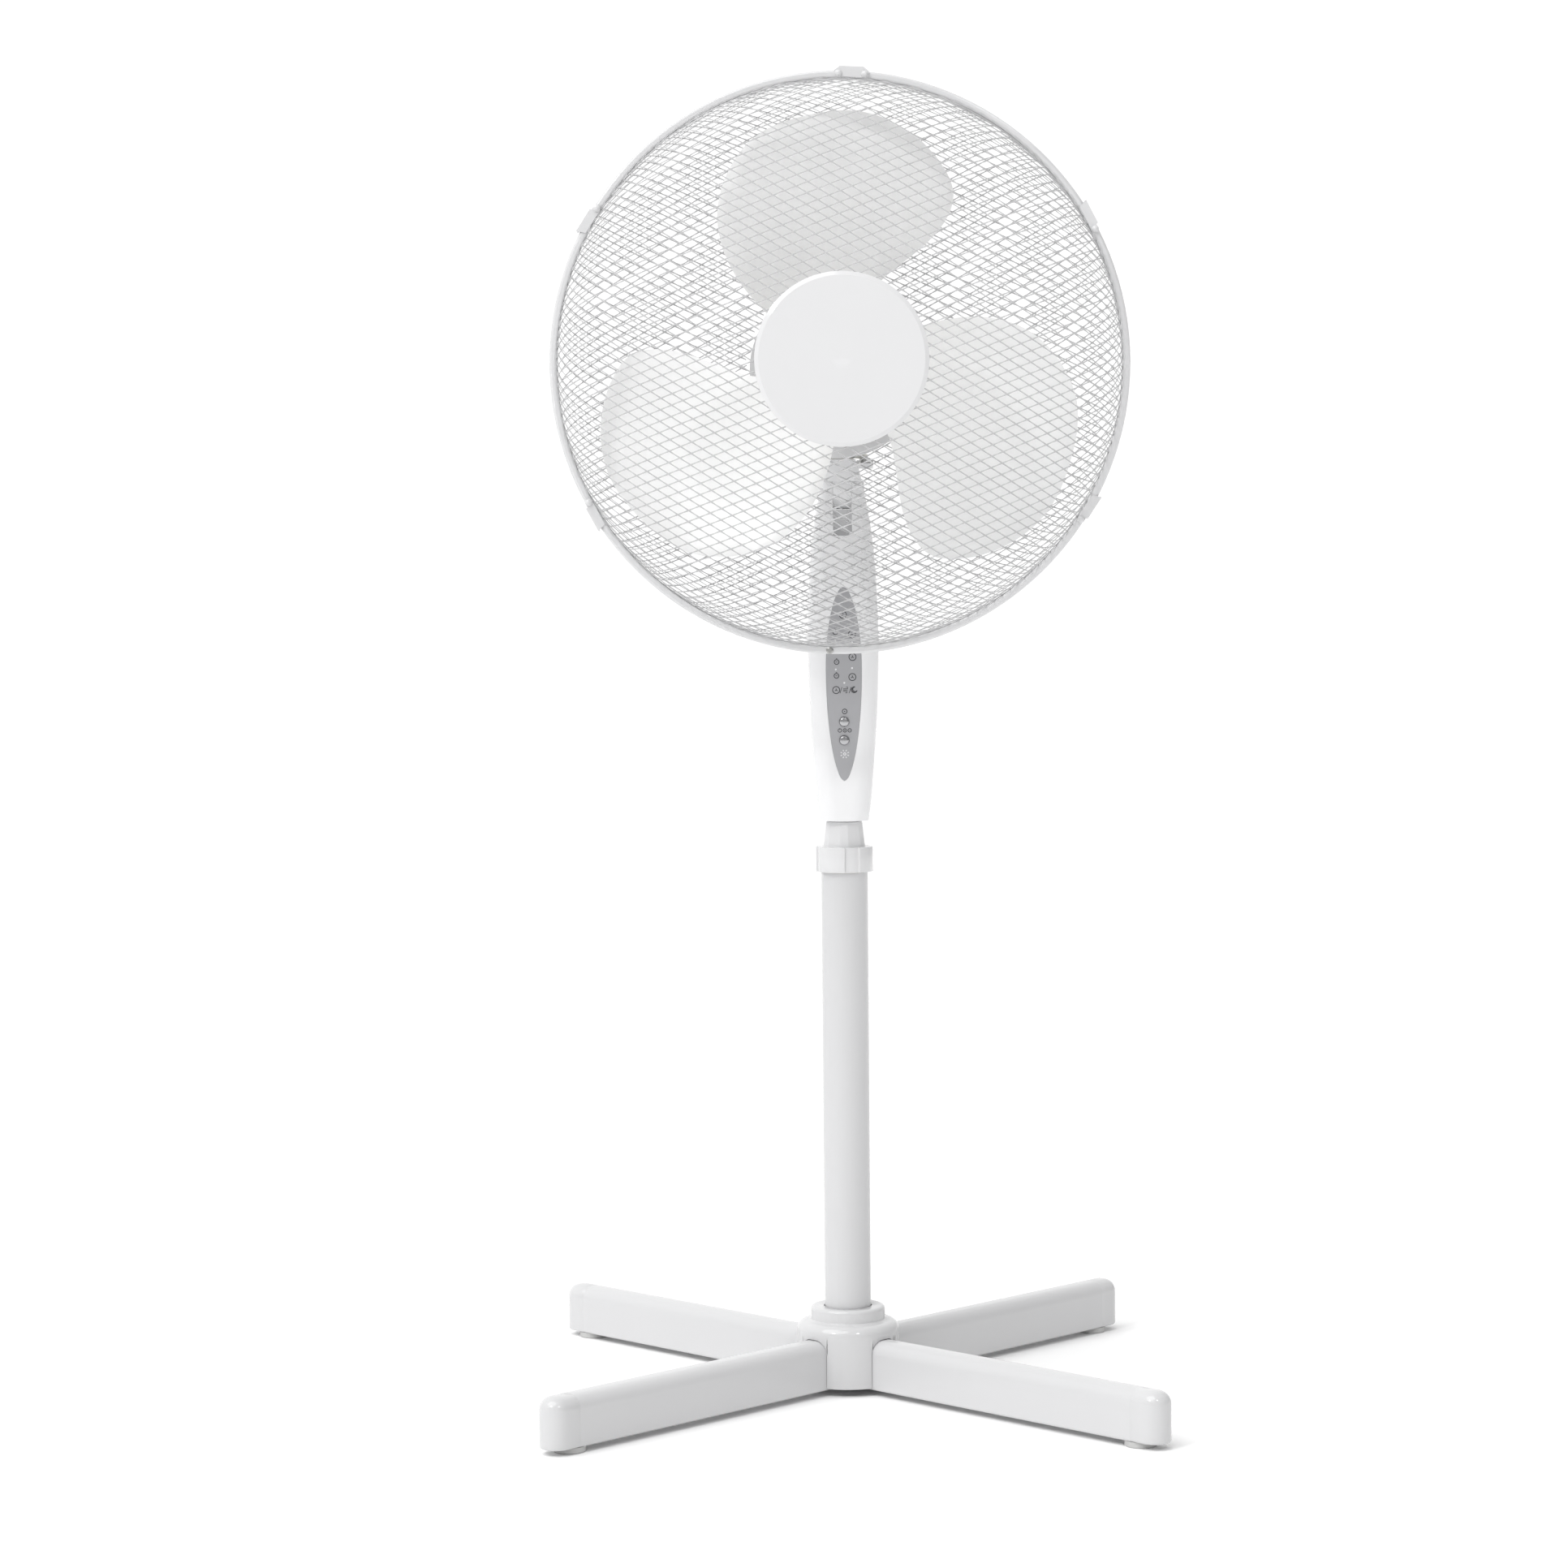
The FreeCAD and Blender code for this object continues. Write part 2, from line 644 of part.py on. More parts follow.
def controls():
    """Two domed buttons, the board behind them and its switches."""
    for name, alias in (("power_button", "power_height"), ("speed_button", "speed_height")):
        face = front_at(size(alias))
        button = turned(name, [
            (0, -18), (5.2, -18), (5.2, "-18 - 1.3"), ("button_radius", "-18 - 1.3"),
            ("button_radius", face - 0.2), ("button_radius - 1.4", face - 1.9), (0, face - 2.5)],
            about="Y")
        node(move(button, z=alias))
    board = box("board_blank", (-13, 13), (-13.4, -12.2), (503, 625))
    cases = [box(f"{name}_switch", (-3, 3), (-16.4, -13.4),
                 (f"{name}_height - 3", f"{name}_height + 3"))
             for name in ("power", "speed")]
    node(fuse("control_board", board, *cases))
    gland = turned("cord_gland", [
        (0, 14), (5, 14), (5, 21.3), (7, 21.3), (7, 23), (5.2, 25), (2.6, 25), (2.6, 18), (0, 18)],
        about="Y")
    node(move(gland, z=466))


def tilt_fasteners():
    """Bolt and caps of the tilt hinge."""
    shank = cylinder("tilt_shank", 4, 26.5, x=-15, z="tilt_height", along="X")
    heads = [cylinder("tilt_head", 6.5, 3.4, x=11.5, z="tilt_height", along="X"),
             cylinder("tilt_nut", 6, 3.4, x=-14.9, z="tilt_height", along="X")]
    node(fuse("tilt_bolt", shank, *heads))
    cap = cylinder("tilt_cap", 6.9, 2, x=15.2, z="tilt_height", along="X")
    node(copies("tilt_caps", cap, [
        FreeCAD.Placement(), FreeCAD.Placement(Vector(-32.4, 0, 0), Rotation())]))


# ---------------------------------------------------------------- neck
def neck():
    """Tongue and hood that tilt, the oscillation pin, its washer and the link."""
    tilt = size("tilt_height")
    half = size("tongue_half")
    top = size("neck_top")
    stud = Vector(size("stud_side"), size("stud_depth"), 0)
    hood = lofted(HOOD_STATIONS)
    hood = hood.cut(rod(size("ear_radius") + 0.4, Vector(-30, 0, tilt), Vector(30, 0, tilt)))
    tongue = rod(size("tongue_radius"), Vector(-half, 0, tilt), Vector(half, 0, tilt))
    web = slab((-half, half), (-12, 12), (tilt, top - 4))
    arm = slab((6, stud.x), (stud.y - 5, stud.y + 5), (716, 720.2))
    eye = rod(5, stud + Vector(0, 0, 716), stud + Vector(0, 0, 720.2))
    post = rod(2.5, stud + Vector(0, 0, 720.2), stud + Vector(0, 0, 724.2))
    relief = slab((-4, 4), (0, 40), (720.3, top + 1))
    relief.Placement = FreeCAD.Placement(stud, Rotation(Vector(0, 0, 1), link_turn() + LINK_SWING))
    solid = hood.fuse([tongue, web]).cut(relief).fuse([arm, eye, post])
    solid = solid.cut(rod(4.05, Vector(-30, 0, tilt), Vector(30, 0, tilt)))
    solid = solid.cut(rod(size("pivot_radius"), Vector(0, 0, 713.5), Vector(0, 0, top + 5)))
    node(feature("neck_bracket", solid.removeSplitter()))
    node(cylinder("oscillation_pin", "pivot_radius", "762 - 713.5", z=713.5))
    node(turned("thrust_washer", ring("pivot_radius", 9.5, "neck_top", "boss_foot - 0.05")))


def crank_link():
    """Flat link between the neck's stud and the crank pin."""
    link = new_body("link_bar")
    pad_in(link, "XY_Plane", "3", [
        (-3.4, 0), (3.4, 0), (3.4, "link_length"), (-3.4, "link_length")])
    eyes = [cylinder("near_eye", 5, 3), cylinder("far_eye", 5, 3, y="link_length")]
    bores = [cylinder("near_bore", 2.56, 9, z=-3),
             cylinder("far_bore", 2.56, 9, y="link_length", z=-3)]
    result = cut("crank_link", fuse("link_blank", link, *eyes), *bores)
    result.Placement = FreeCAD.Placement(
        Vector(size("stud_side"), size("stud_depth"), 720.5),
        Rotation(Vector(0, 0, 1), link_turn()))
    node(result)


def crank_pin():
    """Place of the crank pin that puts the head in the middle of its swing."""
    centre = Vector(size("crank_side"), size("gear_depth"), 0)
    stud = Vector(size("stud_side"), size("stud_depth"), 0)
    line = stud - centre
    throw = size("crank_throw")
    cosine = (line.Length ** 2 + throw ** 2 - size("link_length") ** 2) / (2 * line.Length * throw)
    angle = math.atan2(line.y, line.x) + math.acos(cosine)
    return centre + Vector(throw * math.cos(angle), throw * math.sin(angle), 0)


def link_turn():
    """Angle of the crank link at rest, from straight back."""
    pin = crank_pin()
    return math.degrees(math.atan2(pin.y - size("stud_depth"), pin.x - size("stud_side"))) - 90


# ---------------------------------------------------------------- motor
def motor_brackets():
    """Cast end brackets; the rear one carries the oscillation boss and the gear shelf."""
    front = turned("front_casting", [
        (8, "motor_front - 12"), (13, "motor_front - 12"), (13, "motor_front"),
        ("motor_radius", "motor_front"), ("motor_radius", "motor_front + 4"),
        (50, "motor_front + 4"), (50, -52), (38, -52), (38, "motor_front + 4"),
        (8, "motor_front + 4")], about="Y")
    at_hub(front)
    node(cut("front_bracket", front, *bolt_bores("front")))
    rear = turned("rear_casting", [
        (8, -18), (12, -18), (12, -16), (38, -16), (38, -24), (50, -24), (50, -9), (8, -9)],
        about="Y")
    at_hub(rear)
    boss = cylinder("boss", "boss_radius", "766 - boss_foot", z="boss_foot")
    shelf = box("shelf", (-26, 26), (-10, 61), (765, 768))
    solid = fuse("rear_solid", rear, boss, shelf)
    pivot = cylinder("pivot_bore", "pivot_radius + 0.05", "763 - 720", z=720)
    shaft_way = cylinder("wheel_way", 3.2, 20, x="crank_side", y="gear_depth", z=755)
    wheel_way = cylinder("idler_way", 2.7, 20, x="wheel_side", y="gear_depth", z=755)
    node(cut("rear_bracket", solid, pivot, shaft_way, wheel_way, *bolt_bores("rear")))


def bolt_spots():
    """Four bolts around the fan axis."""
    return [(45.5 * math.cos(math.radians(angle)), 45.5 * math.sin(math.radians(angle)))
            for angle in (45, 135, 225, 315)]


def bolt_bores(name):
    """Bores for the motor bolts."""
    return [cylinder(f"{name}_bore_{count}", 1.6, 61, x=f"hub_offset + ({x:.3f})", y=-66,
                     z=f"hub_height + ({z:.3f})", along="Y")
            for count, (x, z) in enumerate(bolt_spots())]


def motor_inside():
    """Stator, windings, bearings and bolts."""
    node(at_hub(turned("stator_core", ring(22.1, 42, -52, -24), about="Y")))
    coil = at_hub(turned("coil_end", [
        (25, -59), (36, -59), (37, -58), (37, -52), (24, -52), (24, -58)], about="Y"))
    node(copies("stator_windings", coil, [
        FreeCAD.Placement(), FreeCAD.Placement(Vector(0, 35, 0), Rotation())]))
    bush = at_hub(turned("shaft_bush", ring("shaft_radius + 0.04", 8, -79, -69), about="Y"))
    node(copies("shaft_bearings", bush, [
        FreeCAD.Placement(), FreeCAD.Placement(Vector(0, 61, 0), Rotation())]))
    bolt = at_hub(turned("motor_bolt", [
        (0, -65.5), (1.5, -65.5), (1.5, -9), (3, -9), (3, -7), (0, -7)], about="Y"))
    node(copies("motor_bolts", bolt, [
        FreeCAD.Placement(Vector(x, 0, z), Rotation()) for x, z in bolt_spots()]))
    node(box("run_capacitor", (-16, 14), (-4, 30), (808, 822)))


def motor_cover():
    """Domed rear cover with vents and openings for the boss, the crank and the knob."""
    dome = at_hub(turned("cover_blank", [
        ("motor_radius - 2", "motor_front + 4"), ("motor_radius", "motor_front + 4"),
        ("motor_radius", 50, 24), ("motor_radius - 24", 74), (0, 76), (0, 74),
        ("motor_radius - 24.5", 72), ("motor_radius - 24", 72, -22),
        ("motor_radius - 2", 50)], about="Y"))
    tools = [cylinder("boss_way", "boss_radius + 1.5", 40, z=715),
             cylinder("crank_way", 5, 40, x="crank_side", y="gear_depth", z=715),
             cylinder("knob_way", 2.3, 60, x="wheel_side", y="gear_depth", z=820)]
    for count in range(12):
        angle = 30 * count
        slot = doc.addObject("Part::Box", f"vent_{count}")
        slot.Length = 16
        slot.Width = 12
        slot.Height = 3
        turn = Rotation(Vector(0, -1, 0), angle)
        hub = Vector(size("hub_offset"), 0, size("hub_height"))
        slot.Placement = FreeCAD.Placement(turn.multVec(Vector(11, 66, -1.5)) + hub, turn)
        tools.append(slot)
    node(cut("motor_cover", dome, *tools))


def gearbox():
    """Open case and its lid around the two reduction stages."""
    outer = box("case_outer", (-32, 31), (11, 61), (768, 801))
    inner = box("case_inner", (-30, 29), (13, 59), (770, 810))
    shaft = cylinder("case_shaft_way", 4.4, 20, x="hub_offset", y=5, z="hub_height", along="Y")
    ways = [cylinder("case_wheel_way", 2.56, 20, x="wheel_side", y="gear_depth", z=760),
            cylinder("case_crank_way", 3.06, 20, x="crank_side", y="gear_depth", z=760)]
    node(cut("gearbox_case", outer, inner, shaft, *ways))
    lid = box("lid_blank", (-32, 31), (11, 61), (801, 803))
    way = cylinder("lid_way", 2.1, 20, x="wheel_side", y="gear_depth", z=795)
    node(cut("gearbox_lid", lid, way))


def gear(name, teeth, module, thick, bore):
    """Spur gear with slim teeth, one tooth patterned about its axis."""
    pitch = teeth * module / 2
    root = pitch - 1.2 * module
    tip = pitch + 0.95 * module
    wheel = turned(name, ring(bore, root, 0, thick))
    tooth = pad_in(wheel, "XY_Plane", thick, [
        (root - 0.4, -0.65 * module), (tip, -0.2 * module),
        (tip, 0.2 * module), (root - 0.4, 0.65 * module)])
    pattern = wheel.newObject("PartDesign::PolarPattern", name + "_teeth")
    pattern.Originals = [tooth]
    pattern.Axis = (tooth.Profile[0], ["N_Axis"])
    pattern.Angle = 360
    pattern.Occurrences = int(teeth)
    wheel.Tip = pattern
    return wheel


def gears():
    """Worm wheel with its pinion, and the crank gear that the pinion drives."""
    teeth = size("worm_teeth")
    wheel = move(gear("wheel_rim", teeth, size("worm_module"), 4, 2.4),
                 x="wheel_side", y="gear_depth", z="hub_height - 2")
    pinion = move(gear("pinion_rim", size("pinion_teeth"), size("spur_module"), 9, 2.4),
                  x="wheel_side", y="gear_depth", z=772)
    spindle = cylinder("wheel_spindle", 2.5, "792 - 768.5", x="wheel_side", y="gear_depth", z=768.5)
    node(fuse("worm_wheel", wheel, pinion, spindle))
    rim = move(gear("crank_rim", size("crank_teeth"), size("spur_module"), 7, 2.9),
               x="crank_side", y="gear_depth", z=773.5)
    rim.Placement.Rotation = Rotation(Vector(0, 0, 1), 180 / size("crank_teeth"))
    spindle = cylinder("crank_spindle", 3, "781 - 726", x="crank_side", y="gear_depth", z=726)
    disc = cylinder("crank_disc", "crank_throw + 3.6", 3.2, x="crank_side", y="gear_depth", z=725)
    spot = crank_pin()
    pin = feature("crank_post", rod(2.5, spot + Vector(0, 0, 723.9), spot + Vector(0, 0, 726)))
    node(fuse("crank_gear", rim, spindle, disc, pin))


def worm():
    """Single-start worm on the tail of the shaft."""
    lead = math.pi * size("worm_module")
    pitch = size("worm_radius")
    root = pitch - 0.95
    tip = pitch + 0.7
    helix = Part.makeHelix(lead, 7 * lead, pitch)
    section = Part.makePolygon([
        Vector(root - 0.1, 0, -0.6), Vector(tip, 0, -0.2),
        Vector(tip, 0, 0.2), Vector(root - 0.1, 0, 0.6), Vector(root - 0.1, 0, -0.6)])
    thread = Part.Wire(helix).makePipeShell([Part.Wire(section)], True, True)
    core = Part.makeCylinder(root, 8 * lead, Vector(0, 0, -lead / 2))
    hole = Part.makeCylinder(3, 12 * lead, Vector(0, 0, -2 * lead))
    solid = core.fuse(thread).cut(hole)
    start = Vector(size("hub_offset"), size("gear_depth") - 4 * lead, size("hub_height"))
    return feature("worm", solid, FreeCAD.Placement(start, ALONG["Y"]))


def knob():
    """Pull-up oscillation knob on top of the motor cover."""
    knob_body = turned("oscillation_knob", [
        (0, 793), (1.8, 793), (1.8, 842), (5.6, 842), (6.6, 843), (7.2, 851), (6.2, 853),
        (0, 853)])
    node(move(knob_body, x="wheel_side", y="gear_depth"))


# ---------------------------------------------------------------- rotor and blades
def rotor():
    """Shaft with the worm on its tail, rotor, cross pin and spinner nut."""
    bar = at_hub(turned("shaft_bar", [
        (0, -146), ("shaft_radius - 0.6", -146), ("shaft_radius", -145.4), ("shaft_radius", 13),
        (3, 14), (3, 48), (0, 48)], about="Y"))
    cross_bore = cylinder("cross_bore", 2, 20, x="hub_offset - 10", y="blade_plane + 26",
                          z="hub_height", along="X")
    node(cut("motor_shaft", fuse("shaft_and_worm", bar, worm()), cross_bore))
    node(at_hub(turned("rotor_core", ring("shaft_radius", 21.7, -52, -24), about="Y")))
    node(at_hub(turned("blade_nut", [
        ("shaft_radius", -142), (17, -142), (19, -144), (17, -154), (8, -158), (0, -158),
        (0, -150), ("shaft_radius", -150)], about="Y")))


def blade_solid():
    """One cambered, twisted blade cut to its outline."""
    plane = size("blade_plane")
    middle = math.radians(-30)
    span = Vector(math.cos(middle), 0, math.sin(middle))
    chord = Vector(-math.sin(middle), 0, math.cos(middle))
    sections = []
    for reach, pitch in ((12, 27), (75, 23), (135, 19), (192, 16)):
        slope = math.tan(math.radians(pitch))
        upper = []
        lower = []
        for across in (-135, -70, 0, 70, 135):
            depth = plane - across * slope + 8 * (1 - (across / 110) ** 2)
            spot = span * reach + chord * across
            upper.append(spot + Vector(0, depth - 1.1, 0))
            lower.append(spot + Vector(0, depth + 1.1, 0))
        fore = Part.BSplineCurve()
        fore.interpolate(upper)
        aft = Part.BSplineCurve()
        aft.interpolate(lower)
        sections.append(Part.Wire([
            fore.toShape(), Part.LineSegment(upper[-1], lower[-1]).toShape(),
            aft.toShape(), Part.LineSegment(lower[0], upper[0]).toShape()]))
    sheet_of_blade = Part.makeLoft(sections, True, False)
    points = []
    for radius, angle in BLADE_OUTLINE:
        turn = math.radians(angle)
        points.append(Vector(radius * math.cos(turn), plane - 90, radius * math.sin(turn)))
    edge = Part.BSplineCurve()
    edge.interpolate(points)
    close = Part.LineSegment(points[-1], points[0]).toShape()
    block = Part.Face(Part.Wire([edge.toShape(), close])).extrude(Vector(0, 180, 0))
    return sheet_of_blade.common(block)


def fan_blade():
    """Three blades on one hub."""
    plane = size("blade_plane")
    blade = blade_solid()
    hub = Part.makeCylinder(size("spinner_radius"), 38, Vector(0, plane - 12, 0), Vector(0, 1, 0))
    solids = []
    for turn in range(3):
        turned_blade = blade.copy()
        turned_blade.rotate(Vector(), Vector(0, 1, 0), 120 * turn)
        solids.append(turned_blade)
    fan = hub.fuse(solids)
    fan = fan.cut(rod(size("shaft_radius"), Vector(0, plane - 30, 0), Vector(0, plane + 30, 0)))
    slot = Part.makeCylinder(2.1, 30, Vector(-15, plane + 26, 0), Vector(1, 0, 0))
    fan = fan.cut(slot)
    place = FreeCAD.Placement(Vector(size("hub_offset"), 0, size("hub_height")), Rotation())
    node(feature("fan_blade", fan.removeSplitter(), place))
    node(cylinder("drive_pin", 2, 26, x="hub_offset - 13", y="blade_plane + 26", z="hub_height",
                  along="X"))


# ---------------------------------------------------------------- guards
def dome_points(radius, depth, first, count=14):
    """Curve from the middle of a guard to its rim, which it meets square on."""
    start = math.asin((first / radius) ** 2)
    points = []
    for step in range(count + 1):
        turn = start + (math.pi / 2 - start) * step / count
        points.append(Vector(radius * math.sqrt(math.sin(turn)), depth * math.cos(turn), 0))
    return points


def dome_skin(name, depth, first):
    """Thin closed skin that stands for a guard's mesh; depth is signed along Y."""
    thick = size("mesh_thick")
    way = math.copysign(1, depth)
    plane = Vector(0, size("ring_plane"), 0)
    curves = []
    ends = []
    for inset in (0, thick):
        run = dome_points(size("ring_inner") - inset, depth - way * inset, first)
        points = [point + plane for point in run]
        curve = Part.BSplineCurve()
        curve.interpolate(points)
        curves.append(curve.toShape())
        ends.append((points[0], points[-1]))
    closing = [Part.LineSegment(ends[0][side], ends[1][side]).toShape() for side in (0, 1)]
    face = Part.Face(Part.Wire(Part.__sortEdges__(curves + closing)))
    skin = face.revolve(Vector(), Vector(0, 1, 0), 360)
    place = FreeCAD.Placement(Vector(size("hub_offset"), 0, size("hub_height")), Rotation())
    node(feature(name, skin, place))


def rear_guard():
    """Plate, skin and ring of the rear guard, and the nut that holds it on the motor."""
    node(at_hub(turned("rear_guard_plate", [
        (13.2, "motor_front"), (13.2, "motor_front - 2"), ("plate_radius - 2", "motor_front - 2"),
        ("plate_radius", "motor_front - 2"), ("plate_radius", "motor_front")], about="Y")))
    dome_skin("rear_guard_mesh", size("rear_depth"), size("plate_radius"))
    node(ring_with_bores("rear_guard_ring", [
        ("ring_inner", "ring_plane + 0.2"), ("ring_outer - 1", "ring_plane + 0.2"),
        ("ring_outer - 1", "ring_plane + 6"), ("ring_inner", "ring_plane + 6")], [SAFETY_ANGLE], 1.3))
    nut = at_hub(turned("nut_ring", [
        (13.1, -70.1), (24, -70.1), (25, -71.1), (25, -77), (23, -79), (13.1, -79)], about="Y"))
    notches = []
    for count in range(6):
        turn = math.radians(60 * count)
        notches.append(cylinder(
            f"nut_notch_{count}", 3, 20, x=f"hub_offset + ({26 * math.cos(turn):.3f})", y=-85,
            z=f"hub_height + ({26 * math.sin(turn):.3f})", along="Y"))
    node(cut("guard_nut", nut, *notches))


def ring_with_bores(name, loop, angles, radius):
    """Guard ring with rivet bores at angles seen from the front."""
    hoop = at_hub(turned(name + "_hoop", loop, about="Y"))
    bores = []
    for count, angle in enumerate(angles):
        turn = math.radians(angle)
        bores.append(cylinder(
            f"{name}_bore_{count}", radius, 30,
            x=f"hub_offset + rivet_circle * ({math.cos(turn):.5f})", y="ring_plane - 15",
            z=f"hub_height + rivet_circle * ({math.sin(turn):.5f})", along="Y"))
    return cut(name, hoop, *bores)


def hook_rivet_angles():
    """Angles of the two rivets that hold the top hook."""
    spread = math.degrees(9.6 / size("rivet_circle"))
    return [HOOK_ANGLE - spread, HOOK_ANGLE + spread]


def front_guard():
    """Skin, ring and plain disc of the front guard."""
    dome_skin("front_guard_mesh", -size("front_depth"), size("badge_radius") - 4)
    angles = list(CLIP_ANGLES) + hook_rivet_angles() + [SAFETY_ANGLE]
    node(ring_with_bores("front_guard_ring", [
        ("ring_inner", "ring_plane - 0.2"), ("ring_inner", "ring_plane - 6.8", 1.6),
        ("ring_inner + 1.6", "ring_plane - 8"), ("ring_outer - 1.8", "ring_plane - 8", 2),
        ("ring_outer", "ring_plane - 6.2"), ("ring_outer", "ring_plane - 0.2")], angles, 1.3))
    disc = at_hub(turned("badge_disc", [
        (0, -222.4), ("badge_radius - 3", -222.0), ("badge_radius", -220.6),
        ("badge_radius", -220.1), (0, -220.1)], about="Y"))
    node(disc)
    spots = []
    bores = []
    for angle in (90, 210, 330):
        turn = math.radians(angle)
        x = size("hub_offset") + 50 * math.cos(turn)
        z = size("hub_height") + 50 * math.sin(turn)
        spots.append(FreeCAD.Placement(Vector(x, 0, z), Rotation()))
        bores.append(cylinder(f"badge_bore_{angle}", 1.6, 10, x=x, y=-225, z=z, along="Y"))
    plate = at_hub(turned("badge_blank", ring(8, "badge_radius - 4.1", -219.6, -217.9), about="Y"))
    node(cut("badge_plate", plate, *bores))
    screw = turned("badge_screw", [
        (0, -220.1), (1.6, -220.1), (1.6, -217.9), (3, -217.9), (3, -216.6), (0, -216.6)],
        about="Y")
    node(copies("badge_screws", screw, spots))


def ring_fasteners():
    """Rivets of the clips and the hook, and the safety screw at the bottom."""
    rivet = turned("rivet", [
        (0, -158), (1.3, -158), (1.3, -165.3), (2.7, -165.3), (2.7, -165.8, -2.9),
        (0.8, -167.6), (0, -167.6)], about="Y")
    move(rivet, z="rivet_circle")
    angles = list(CLIP_ANGLES) + hook_rivet_angles()
    node(copies("guard_rivets", rivet, [about_hub(angle) for angle in angles]))
    screw = turned("screw_blank", [
        (0, -165.4), (1.6, -165.4), (2.6, -164.6), (2.6, -164), (1.3, -164), (1.3, -150.5),
        (0, -150.5)], about="Y")
    move(screw, z="rivet_circle")
    node(copies("safety_screw", screw, [about_hub(SAFETY_ANGLE)]))


def pressed(name, front_loop, flange, lip, deep, front_y):
    """Sheet piece over the rings: front plate, outer flange and rear lip, at the top of the guard."""
    plate = padded(name + "_plate", "XZ_Plane", deep, front_loop)
    plate.Placement.Base.y = front_y
    sides = []
    for part, (x, y, z) in (("flange", flange), ("lip", lip)):
        sides.append(box(f"{name}_{part}", x, y, z))
    return fuse(name + "_blank", plate, *sides)


def guard_clips():
    """Four swinging clips, each hung on its rivet."""
    low = "rivet_circle - 2.6"
    high = "rivet_circle + 2.6"
    blank = pressed("clip", [
        (-19.4, low), (0, low, 2.6), (0, high), (-2.6, high), (-3.2, "ring_outer + 1.5"),
        (-21.6, "ring_outer + 1.5")],
        ((-21.6, -3.2), (-165.1, -148.8), ("ring_outer + 0.7", "ring_outer + 1.5")),
        ((-20, -5), (-149.6, -148.8), ("ring_outer - 4", "ring_outer + 1.5")), 0.8, -164.3)
    bore = cylinder("clip_bore", 1.36, 20, y=-170, z="rivet_circle", along="Y")
    clip = cut("clip_pattern", blank, bore)
    for count, angle in enumerate(CLIP_ANGLES, start=1):
        node(copies(f"guard_clip_{count}", clip, [about_hub(angle)]))


def top_hook():
    """Fixed hook at the top of the front ring."""
    top = "ring_outer + 2.7"
    blank = pressed("hook", [
        (-12.6, "rivet_circle - 2.4"), (12.6, "rivet_circle - 2.4"), (12.6, "rivet_circle + 2"),
        (8.7, top), (-8.7, top), (-12.6, "rivet_circle + 2")],
        ((-8.7, 8.7), (-165.3, -148.8), ("ring_outer + 1.9", top)),
        ((-7, 7), (-149.6, -148.8), ("ring_outer - 4", top)), 1.3, -164)
    bores = [cylinder(f"hook_bore_{side}", 1.31, 20, x=x, y=-170, z="rivet_circle - 0.22", along="Y")
             for side, x in (("left", -9.6), ("right", 9.6))]
    hook = cut("hook_pattern", blank, *bores)
    node(copies("top_hook", hook, [about_hub(HOOK_ANGLE)]))


# ---------------------------------------------------------------- build and write
def build():
    """Make every sub-part."""
    cross_tube("cross_tube_lower", "foot_height + leg_depth / 2", "foot_height + leg_depth + 1", 45)
    cross_tube("cross_tube_upper", "foot_height - 1", "foot_height + leg_depth / 2", -45)
    leg_end_caps()
    foot_pads()
    base_cover()
    base_fasteners()
    poles()
    height_collar()
    housing()
    controls()
    tilt_fasteners()
    neck()
    crank_link()
    motor_brackets()
    motor_inside()
    motor_cover()
    gearbox()
    gears()
    knob()
    rotor()
    fan_blade()
    rear_guard()
    front_guard()
    ring_fasteners()
    guard_clips()
    top_hook()


def check_and_write():
    """Stop on any failed object or unsound shape, then write one file for each sub-part."""
    doc.recompute()
    for item in doc.Objects:
        if {"Invalid", "Error"} & set(item.State):
            raise RuntimeError(f"{item.Name} failed: {item.State}")
    labels = [item.Label for item in nodes]
    if len(labels) != len(set(labels)):
        raise RuntimeError("two sub-parts share a label")
    for item in nodes:
        if item.Shape.isNull() or not item.Shape.isValid() or not item.Shape.Solids:
            raise RuntimeError(f"{item.Label} has no sound solid")
    os.makedirs("parts", exist_ok=True)
    for item in nodes:
        item.Shape.exportStep(f"parts/{item.Label}.step")
        reach = item.Shape.optimalBoundingBox()
        print(f"{item.Label:20s} {len(item.Shape.Solids):2d} solids {item.Shape.Volume / 1000:8.2f} cm3"
              f"  x {reach.XMin:7.1f} {reach.XMax:7.1f}"
              f"  y {reach.YMin:7.1f} {reach.YMax:7.1f}  z {reach.ZMin:7.1f} {reach.ZMax:7.1f}")
    print(len(nodes), "sub-parts")


fill_sheet()
build()
check_and_write()
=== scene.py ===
"""Pedestal fan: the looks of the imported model, laid out as a Blender add-on.

Everything is in metres, in the model's own frame: +Z up, and the fan blows towards -Y.
"""
import json
import math

import bmesh
import bpy
from mathutils import Matrix, Vector
from mathutils.bvhtree import BVHTree


